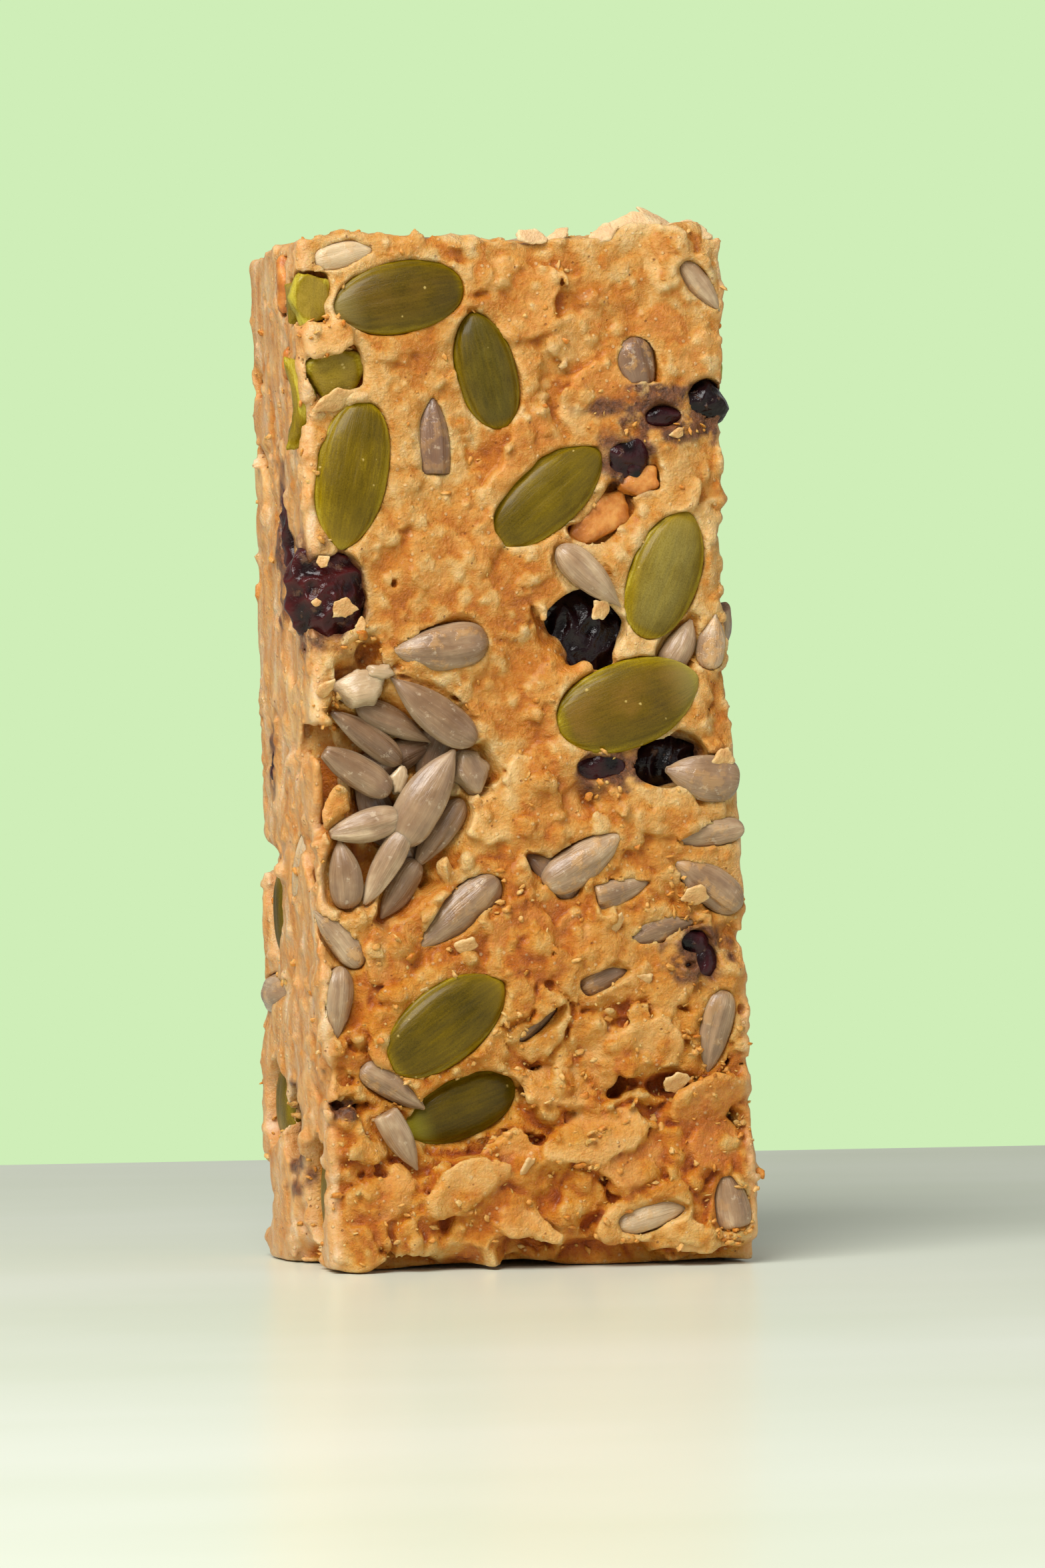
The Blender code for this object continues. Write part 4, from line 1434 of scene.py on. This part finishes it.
def rgb(red, green, blue):
    """A colour given in screen values of 0 to 255, as linear light."""
    parts = [value / 255 for value in (red, green, blue)]
    return (*[p / 12.92 if p <= 0.04045 else ((p + 0.055) / 1.055) ** 2.4 for p in parts], 1.0)


class Shader:
    """A material whose nodes are added one by one. Colours are sockets, or screen values of 0 to 255."""

    def __init__(self, name):
        self.material = bpy.data.materials.new(name)
        self.material.use_nodes = True
        self.tree = self.material.node_tree
        self.surface = self.tree.nodes["Principled BSDF"]

    def feed(self, socket, value):
        """Gives a socket a number, a colour or what another socket gives out."""
        if isinstance(value, bpy.types.NodeSocket):
            self.tree.links.new(value, socket)
        elif socket.type == "RGBA":
            socket.default_value = rgb(*value)
        else:
            socket.default_value = value

    def add(self, kind, inputs=(), **settings):
        node = self.tree.nodes.new("ShaderNode" + kind)
        for key, value in settings.items():
            setattr(node, key, value)
        for key, value in dict(inputs).items():
            self.feed(node.inputs[key], value)
        return node

    def math(self, operation, *values, clamp=False):
        node = self.add("Math", enumerate(values), operation=operation, use_clamp=clamp)
        return node.outputs[0]

    def times(self, first, second):
        return self.math("MULTIPLY", first, second)

    def lift(self, level, value, amount, clamp=False):
        """level + amount x value."""
        return self.math("MULTIPLY_ADD", value, amount, level, clamp=clamp)

    def vary(self, level, value, amount):
        """level + amount x (value - 0.5), where value is noise of about 0 to 1."""
        return self.lift(level, self.math("SUBTRACT", value, 0.5), amount)

    def attribute(self, name, output="Fac"):
        return self.add("Attribute", attribute_name=name).outputs[output]

    def vector_math(self, operation, first, second):
        return self.add("VectorMath", {0: first, 1: second}, operation=operation).outputs[0]

    def place_mm(self):
        """The piece's own place in millimetres."""
        place = self.add("TexCoord").outputs["Object"]
        return self.add("VectorMath", {0: place, "Scale": 1 / MM}, operation="SCALE").outputs[0]

    def noise(self, vector, size, detail=3.0, rough=0.55, output="Fac"):
        inputs = {"Vector": vector, "Scale": 1 / size, "Detail": detail, "Roughness": rough}
        return self.add("TexNoise", inputs).outputs[output]

    def cells(self, vector, scale):
        return self.add("TexVoronoi", {"Vector": vector, "Scale": scale}).outputs

    def remap(self, value, low, high, new_low=0.0, new_high=1.0):
        inputs = {"Value": value, "From Min": low, "From Max": high, "To Min": new_low, "To Max": new_high}
        return self.add("MapRange", inputs).outputs[0]

    def ramp(self, value, *stops):
        node = self.add("ValToRGB", {"Fac": value})
        elements = node.color_ramp.elements
        while len(elements) < len(stops):
            elements.new(0.5)
        for element, (place, colour) in zip(elements, stops):
            element.position = place
            element.color = rgb(*colour)
        return node.outputs["Color"]

    def mix(self, factor, first, second):
        return self.add("Mix", {"Factor": factor, 6: first, 7: second}, data_type="RGBA").outputs[2]

    def cover(self, colour, over, share, amount):
        """Another colour over this one where share is 1, as strongly as amount."""
        return self.mix(self.times(share, amount), colour, over)

    def bump(self, height, distance, strength):
        inputs = {"Height": height, "Distance": distance * MM, "Strength": strength}
        return self.add("Bump", inputs).outputs["Normal"]

    def finish(self, colour, roughness, bump=None, translucence=None, **inputs):
        """Joins up the surface. bump: height, depth in mm, strength. translucence: share, radii, mm."""
        inputs |= {"Base_Color": colour, "Roughness": roughness}
        if bump:
            inputs["Normal"] = self.bump(*bump)
        if translucence:
            share, radii, scale = translucence
            inputs |= {"Subsurface_Weight": share, "Subsurface_Radius": radii, "Subsurface_Scale": scale * MM}
        for key, value in inputs.items():
            self.feed(self.surface.inputs[key.replace("_", " ")], value)
        return self.material


# From amber to pale, the paste's own colours; on the paste the amber end also stands for painted shade in the
# creases and the pale end for painted light on the crests
PASTE_DRY = ((170, 90, 6), (194, 116, 18), (207, 145, 62), (215, 168, 100), (226, 192, 138))
PASTE_MOIST = ((158, 68, 0), (192, 100, 0), (210, 130, 22), (218, 152, 58), (226, 182, 108))
RAMP_STOPS = (0.0, 0.28, 0.50, 0.72, 1.0)


def paste_colours(s, level, moist):
    """The paste's colours from amber to pale, stronger where it was torn open. On the paste the level paints
    shade into the creases and light onto the crests.
    """
    dry = s.ramp(level, *zip(RAMP_STOPS, PASTE_DRY))
    wet = s.ramp(level, *zip(RAMP_STOPS, PASTE_MOIST))
    return s.mix(moist, dry, wet)


def paste_material():
    s = Shader("oat_paste_finish")
    place = s.place_mm()
    broad = s.noise(place, 7.0, 2.0)
    medium = s.noise(place, 2.0, 4.0, 0.6)
    fine = s.noise(place, 0.6, 5.0, 0.65)
    tiny = s.noise(place, 0.2, 4.0, 0.65)
    flake = s.attribute("flake")
    tone = s.attribute("flake_tone")
    torn = s.attribute("torn")
    side = s.attribute("side")

    # Painted shade and painted light: the level falls in the creases and rises on the crests, before the
    # paste's own mottling is added
    level = s.lift(0.45, s.attribute("fine_swell_shading"), 0.20)
    level = s.lift(level, s.attribute("broad_swell_shading"), 0.13)
    level = s.vary(level, medium, 0.60)
    level = s.vary(level, fine, 0.60)
    level = s.vary(level, broad, 0.30)
    level = s.lift(level, tone, 0.24)
    moist = s.lift(s.remap(broad, 0.4, 0.6, 0.0, 0.3), torn, 0.8, clamp=True)
    colour = paste_colours(s, level, moist)

    # The cut sides are pressed smooth, with pale smears along the bar
    smear = s.vary(s.noise(s.vector_math("MULTIPLY", place, (1.0, 1.0, 0.35)), 1.8, 4.0), fine, 0.30)
    pressed = s.ramp(
        smear,
        (0.30, (190, 116, 44)),
        (0.42, (208, 146, 80)),
        (0.52, (214, 164, 108)),
        (0.62, (218, 180, 136)),
        (0.72, (228, 204, 172)),
    )
    colour = s.cover(colour, pressed, side, 0.75)
    oat = s.mix(s.remap(tone, -1, 1), (204, 130, 44), (228, 186, 122))
    colour = s.cover(colour, oat, flake, s.remap(medium, 0.3, 0.6, 0.0, 0.5))

    # Pale grains, dark specks of bran, and the juice of the berries
    grains = s.cells(place, 1.5)
    pick = s.add("SeparateColor", {"Color": grains["Color"]}).outputs["Red"]
    grain = s.times(s.remap(grains["Distance"], 0.16, 0.30, 1.0, 0.0), s.remap(pick, 0.74, 0.80))
    colour = s.cover(colour, (240, 212, 160), grain, 0.4)
    speck = s.remap(s.cells(place, 0.62)["Distance"], 0.045, 0.085, 1.0, 0.0)
    colour = s.cover(colour, (132, 62, 26), speck, 0.6)
    stain = s.times(s.attribute("stain"), s.remap(medium, 0.28, 0.44))
    juice = s.mix(s.remap(fine, 0.35, 0.6), (58, 24, 16), (124, 70, 36))
    colour = s.cover(colour, juice, stain, 0.95)

    bent = s.vector_math("MULTIPLY", s.noise(place, 0.8, 2.0, 0.5, output="Color"), (0.9, 0.9, 0.9))
    inputs = {"Vector": s.vector_math("ADD", place, bent), "Scale": 1 / 0.5, "Smoothness": 0.6}
    curd = s.add("TexVoronoi", inputs, feature="SMOOTH_F1").outputs["Distance"]
    rough = s.lift(s.times(tiny, 0.30), fine, 0.60)
    rough = s.lift(rough, curd, -0.22)
    rough = s.times(rough, s.remap(flake, 0, 1, 1, 0.6))
    rough = s.times(rough, s.remap(side, 0, 1, 1, 0.45))
    rough = s.times(rough, s.remap(torn, 0, 1, 0.75, 1))
    height = s.lift(s.lift(rough, grain, 0.12), speck, -0.2)
    return s.finish(
        colour,
        s.remap(fine, 0.3, 0.7, 0.24, 0.44),
        bump=(height, 0.85, 1.0),
        translucence=(0.3, (1.0, 0.42, 0.12), 0.7),
        Specular_IOR_Level=0.45,
        Coat_Weight=0.12,
        Coat_Roughness=0.14,
    )


def kernel_material():
    s = Shader("sunflower_kernel_finish")
    place = s.place_mm()
    grain = s.attribute("grain", "Vector")
    tone = s.attribute("tone")
    along = s.vector_math("MULTIPLY", grain, (0.10, 1.0, 1.0))
    streak = s.noise(along, 0.22, 3.0, 0.6)
    lined = s.remap(s.noise(grain, 3.6, 2.0), 0.42, 0.58)
    level = s.times(s.math("SUBTRACT", streak, 0.5), s.remap(lined, 0, 1, 0.05, 0.42))
    level = s.math("ADD", level, 0.5)
    level = s.vary(level, s.noise(along, 0.9), 0.45)
    level = s.vary(level, s.noise(grain, 2.4), 0.9)
    level = s.lift(level, tone, 0.30)
    level = s.lift(level, s.attribute("tip"), 0.10)
    colour = s.ramp(
        level,
        (0.0, (98, 66, 42)),
        (0.38, (134, 102, 74)),
        (0.65, (164, 132, 100)),
        (1.0, (210, 184, 150)),
    )
    colour = s.mix(s.remap(tone, -0.6, -1.0, 0.0, 0.45), colour, (134, 100, 82))
    colour = s.mix(s.remap(tone, 0.75, 1.0, 0.0, 0.5), colour, (226, 198, 156))
    colour = s.cover(colour, (192, 170, 140), s.attribute("edge"), 0.45)
    scuff = s.remap(s.noise(place, 0.9, 5.0, 0.7), 0.60, 0.66)
    colour = s.cover(colour, (224, 204, 176), scuff, 0.35)
    film = s.remap(s.noise(place, 1.7, 4.0, 0.65), 0.52, 0.60)
    film = s.times(film, s.attribute("smear"))
    colour = s.cover(colour, (212, 158, 86), film, 0.55)
    height = s.lift(s.lift(streak, s.noise(place, 0.2, 4.0), 0.2), film, 0.6)
    return s.finish(
        colour,
        s.remap(streak, 0.3, 0.7, 0.18, 0.30),
        bump=(height, 0.11, 0.9),
        translucence=(0.35, (1.0, 0.7, 0.5), 1.0),
        Specular_IOR_Level=0.5,
        Coat_Weight=0.35,
        Coat_Roughness=0.16,
    )


def pumpkin_material(name, tone, middle=(100, 82, 20), share=0.0, tip=(148, 120, 30), tip_share=0.4):
    """tone runs from 0, dark green, to 1, yellow olive. middle and tip are the colours of those parts."""
    s = Shader(name)
    place = s.place_mm()
    grain = s.attribute("grain", "Vector")
    edge = s.attribute("edge")
    streak = s.noise(s.vector_math("MULTIPLY", grain, (0.12, 1.0, 1.0)), 0.26, 4.0, 0.65)
    blotch = s.noise(grain, 4.4, 2.0)
    dust = s.noise(place, 0.13, 3.0, 0.7)
    level = s.vary(0.42, streak, 0.50)
    level = s.vary(level, dust, 0.45)
    level = s.vary(level, blotch, 0.5)
    level = s.lift(level, edge, 0.32)
    level = s.math("ADD", level, 0.36 * (tone - 0.5))
    colour = s.ramp(
        level,
        (0.0, (38, 32, 0)),
        (0.3, (76, 60, 0)),
        (0.55, (106, 84, 0)),
        (0.78, (140, 116, 2)),
        (1.0, (184, 166, 56)),
    )
    patch = s.times(s.remap(edge, 0.02, 0.40, 1.0, 0.0), s.remap(blotch, 0.38, 0.58, 0.3, 1.0))
    patch = s.times(patch, s.remap(dust, 0.35, 0.65, 0.5, 1.0))
    colour = s.cover(colour, middle, patch, share)
    colour = s.cover(colour, tip, s.attribute("tip"), tip_share)
    ragged = s.lift(s.cells(place, 0.45)["Distance"], s.noise(place, 0.25), 0.12)
    speck = s.remap(ragged, 0.09, 0.13, 1.0, 0.0)
    colour = s.cover(colour, (214, 186, 112), speck, 0.6)
    return s.finish(
        colour,
        s.remap(dust, 0.3, 0.7, 0.24, 0.38),
        bump=(s.lift(streak, dust, 0.5), 0.07, 0.8),
        translucence=(0.05, (0.6, 1.0, 0.2), 0.6),
        Specular_IOR_Level=0.15,
        Coat_Weight=0.14,
        Coat_Roughness=0.12,
    )


def berry_material(name, dark, bright, smeared):
    """dark and bright are its colours in the hollows, with painted shade, and on the crests, with painted
    light; smeared the share that paste covers.
    """
    s = Shader(name)
    place = s.place_mm()
    grain = s.attribute("grain", "Vector")
    # Painted shade in the hollows of the folds and painted light on their crests
    level = s.lift(s.times(s.attribute("fold_shading"), 0.35), s.noise(grain, 1.4, 4.0), 0.6)
    colour = s.ramp(level, (0.25, dark), (0.85, bright))
    film = s.remap(s.noise(place, 1.5, 4.0, 0.6), 0.74 - 0.25 * smeared, 0.84 - 0.25 * smeared)
    colour = s.cover(colour, (120, 84, 62), film, 0.55)
    height = s.lift(s.noise(place, 0.7, 4.0), film, 0.5)
    roughness = s.remap(film, 0, 1, 0.11, 0.5)
    return s.finish(colour, roughness, bump=(height, 0.18, 0.9), Specular_IOR_Level=0.28)


def chip_material():
    s = Shader("oat_chip_finish")
    grain = s.attribute("grain", "Vector")
    tint = s.lift(s.noise(grain, 1.0, 4.0, 0.6), s.attribute("edge"), 0.3)
    colour = s.ramp(tint, (0.3, (192, 130, 58)), (0.6, (210, 162, 94)), (1.0, (226, 194, 142)))
    colour = s.mix(s.attribute("tone"), colour, (232, 208, 174))
    fine = s.noise(grain, 0.3, 4.0)
    roughness = s.remap(fine, 0.3, 0.7, 0.34, 0.5)
    return s.finish(colour, roughness, bump=(fine, 0.25, 0.8), translucence=(0.3, (1.0, 0.7, 0.4), 0.6))


def apricot_material():
    s = Shader("apricot_finish")
    grain = s.attribute("grain", "Vector")
    tint = s.noise(grain, 1.4, 4.0, 0.6)
    colour = s.ramp(tint, (0.35, (172, 98, 28)), (0.5, (194, 120, 46)), (0.65, (210, 146, 74)))
    fine = s.noise(grain, 0.4, 4.0)
    roughness = s.remap(fine, 0.3, 0.7, 0.30, 0.42)
    return s.finish(colour, roughness, bump=(fine, 0.12, 0.8), translucence=(0.4, (1.0, 0.4, 0.1), 0.8))


def crumb_material():
    s = Shader("crumb_finish")
    place = s.place_mm()
    level = s.lift(s.math("ADD", s.noise(place, 0.6, 4.0), 0.08), s.attribute("tone"), 0.22)
    height = s.noise(place, 0.25, 4.0)
    roughness = s.remap(height, 0.3, 0.7, 0.40, 0.55)
    colour = paste_colours(s, level, 0.3)
    return s.finish(colour, roughness, bump=(height, 0.2, 0.8), translucence=(0.4, (1.0, 0.5, 0.2), 0.6))


# --------------------------------------------------
# Stage
# --------------------------------------------------

FLOOR_SIZE = (3.0, 1.2)
FLOOR_BEHIND = 0.14  # how far the floor goes on behind the bar, up to the photo's horizon
FLOOR_PATCH = 40.0  # size in mm of the floor's faint patches
AIM = (0, 0, 0.05)  # where the lights point
# Lights: place, size, watts, colour
LIGHTS = {
    "key": ((-0.30, -0.34, 0.50), 0.42, 5.6, (1.0, 0.985, 0.96)),
    "fill": ((0.42, -0.46, 0.18), 0.45, 0.4, (1.0, 1.0, 1.0)),
}
CAMERA_AZIMUTH = math.radians(-15.8)
CAMERA_HEIGHT = 0.0446
CAMERA_DISTANCE = 0.5185
CAMERA_ASIDE = 0.00215
LENS = 127.0


def make_floor():
    bpy.ops.mesh.primitive_plane_add(size=1)
    floor = bpy.context.object
    floor.name = "floor"
    floor.scale = (*FLOOR_SIZE, 1)
    floor.location = (0, FLOOR_BEHIND - FLOOR_SIZE[1] / 2, 0)
    s = Shader("floor_finish")
    tint = s.noise(s.place_mm(), FLOOR_PATCH)
    colour = s.ramp(tint, (0.3, (220, 227, 206)), (0.7, (230, 235, 220)))
    floor.data.materials.append(s.finish(colour, 0.28, Specular_IOR_Level=0.4))


def make_surround():
    """A plain pale green behind the bar, and a soft near-white light on it from all round."""
    world = bpy.data.worlds.new("studio")
    world.use_nodes = True
    bpy.context.scene.world = world
    tree = world.node_tree
    backdrop = tree.nodes["Background"]
    backdrop.inputs["Color"].default_value = rgb(207, 238, 184)
    backdrop.inputs["Strength"].default_value = 1.0
    soft_light = tree.nodes.new("ShaderNodeBackground")
    soft_light.inputs["Color"].default_value = rgb(246, 250, 240)
    soft_light.inputs["Strength"].default_value = 0.33
    chooser = tree.nodes.new("ShaderNodeMixShader")
    seen = tree.nodes.new("ShaderNodeLightPath").outputs["Is Camera Ray"]
    tree.links.new(seen, chooser.inputs[0])
    tree.links.new(soft_light.outputs[0], chooser.inputs[1])
    tree.links.new(backdrop.outputs[0], chooser.inputs[2])
    tree.links.new(chooser.outputs[0], tree.nodes["World Output"].inputs["Surface"])


def make_lights():
    for name, (location, size, watts, colour) in LIGHTS.items():
        light = bpy.data.lights.new(name, "AREA")
        light.shape = "SQUARE"
        light.size = size
        light.energy = watts
        light.color = colour
        obj = add_object(name, light)
        obj.location = location
        obj.rotation_euler = (Vector(AIM) - Vector(location)).to_track_quat("-Z", "Y").to_euler()


def make_camera():
    """A level camera at the photo's viewing angle."""
    camera = bpy.data.cameras.new("camera")
    camera.lens = LENS
    camera.clip_start = 0.01
    obj = add_object("camera", camera)
    look = Vector((-math.sin(CAMERA_AZIMUTH), math.cos(CAMERA_AZIMUTH), 0))
    side = Vector((look.y, -look.x, 0))
    obj.location = Vector((0, 0, CAMERA_HEIGHT)) - look * CAMERA_DISTANCE + side * CAMERA_ASIDE
    obj.rotation_euler = look.to_track_quat("-Z", "Y").to_euler()
    bpy.context.scene.camera = obj


# --------------------------------------------------
# Putting it together
# --------------------------------------------------

# Tone of each pumpkin seed, from 0, dark green, to 1, yellow olive, in the order of the nodes
SEED_TONES = (
    0.35, 0.25, 0.65, 0.6, 0.85, 0.65, 0.45, 0.2, 0.8, 0.8,
    0.5, 0.4, 0.6, 0.3, 0.7, 0.5, 0.2, 0.9, 0.6,
)
SEED_BIT_LOOK = (1.15, (160, 132, 52), 0.8)
# Seeds with a middle or a tip of their own: colour and share of the middle, and of the tip
SEED_LOOKS = {
    "pumpkin_seed_01": ((98, 70, 24), 0.6, (150, 132, 74), 0.6),
    "pumpkin_seed_02": ((92, 84, 34), 0.4, (92, 80, 20), 0.2),
    "pumpkin_seed_04": ((122, 102, 20), 0.3, (112, 92, 24), 0.4),
    "pumpkin_seed_05": ((146, 132, 70), 0.7, (150, 124, 40), 0.5),
    "pumpkin_seed_06": ((124, 88, 34), 0.75, (164, 150, 84), 0.5),
    "pumpkin_seed_08": ((80, 62, 6), 0.3, (160, 150, 40), 0.8),
    "pumpkin_seed_13": ((120, 88, 36), 0.7, (150, 128, 50), 0.5),
    "pumpkin_seed_18": ((156, 148, 92), 0.7, (150, 130, 50), 0.4),
}
# Cranberries that are redder, or more covered in paste, than the near-black rest
RED_BERRIES = ("cranberry_1", "cranberry_6", "cranberry_8")
SMEARED_BERRIES = ("cranberry_1", "cranberry_3", "cranberry_4", "cranberry_7")
# Colours of the berries' hollows, with painted shade, and of their crests, with painted light
RED_SKIN = ((26, 7, 10), (88, 27, 27))
BLACK_SKIN = ((8, 3, 5), (34, 12, 18))
TORN_SKIN = ((14, 5, 8), (70, 24, 30))


def adopt(piece, material, slot, *nodes):
    """Gives a piece its material and its body, and hides the CAD nodes that it stands for. slot is not used.
    """
    piece.data.materials.append(material)
    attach(piece, "root")
    if nodes:
        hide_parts(*nodes)


def main():
    bpy.context.scene.view_settings.view_transform = "Standard"
    seeds = cad_seeds()
    berries = cad_berries()
    seed_bits = cut_bits(PUMPKIN_BITS, 6)
    torn_berries = berry_bits()
    apricots = cut_bits(APRICOT_BITS, -8)
    set_in = seeds + berries + seed_bits + torn_berries + apricots
    kernels = front_kernels()
    kernels += scattered_kernels(set_in + kernels)
    layers, skin, normals = make_paste(set_in + kernels, berries + torn_berries)

    paste_finish = paste_material()
    for layer in layers:
        adopt(layer, paste_finish, "oat_paste", "oat_block")
    for item, seed, tone in zip(seeds, make_pumpkin_seeds(seeds), SEED_TONES):
        finish = pumpkin_material(item.node + "_finish", tone, *SEED_LOOKS.get(item.node, ()))
        adopt(seed, finish, "seed_skin", item.node)
    bit_finish = pumpkin_material("pumpkin_seed_bit_finish", *SEED_BIT_LOOK)
    adopt(make_bits("pumpkin_seed_bits", seed_bits, FIRST_SEED_BIT), bit_finish, "seed_skin")
    for item, berry in zip(berries, make_berries(berries)):
        skin_colours = RED_SKIN if item.node in RED_BERRIES else BLACK_SKIN
        smeared = 0.6 if item.node in SMEARED_BERRIES else 0.1
        finish = berry_material(item.node + "_finish", *skin_colours, smeared)
        adopt(berry, finish, "berry_skin", item.node)
    adopt(make_berry_bits(torn_berries), berry_material("berry_bit_finish", *TORN_SKIN, 0.4), "berry_skin")
    adopt(make_bits("apricot_bits", apricots, FIRST_APRICOT_BIT), apricot_material(), "berry_skin")
    adopt(make_kernels(kernels), kernel_material(), "oat_paste")
    adopt(make_chips(chips()), chip_material(), "oat_paste")
    adopt(make_crumbs(skin, normals), crumb_material(), "oat_paste")

    make_floor()
    make_surround()
    make_lights()
    make_camera()
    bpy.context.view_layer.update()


main()
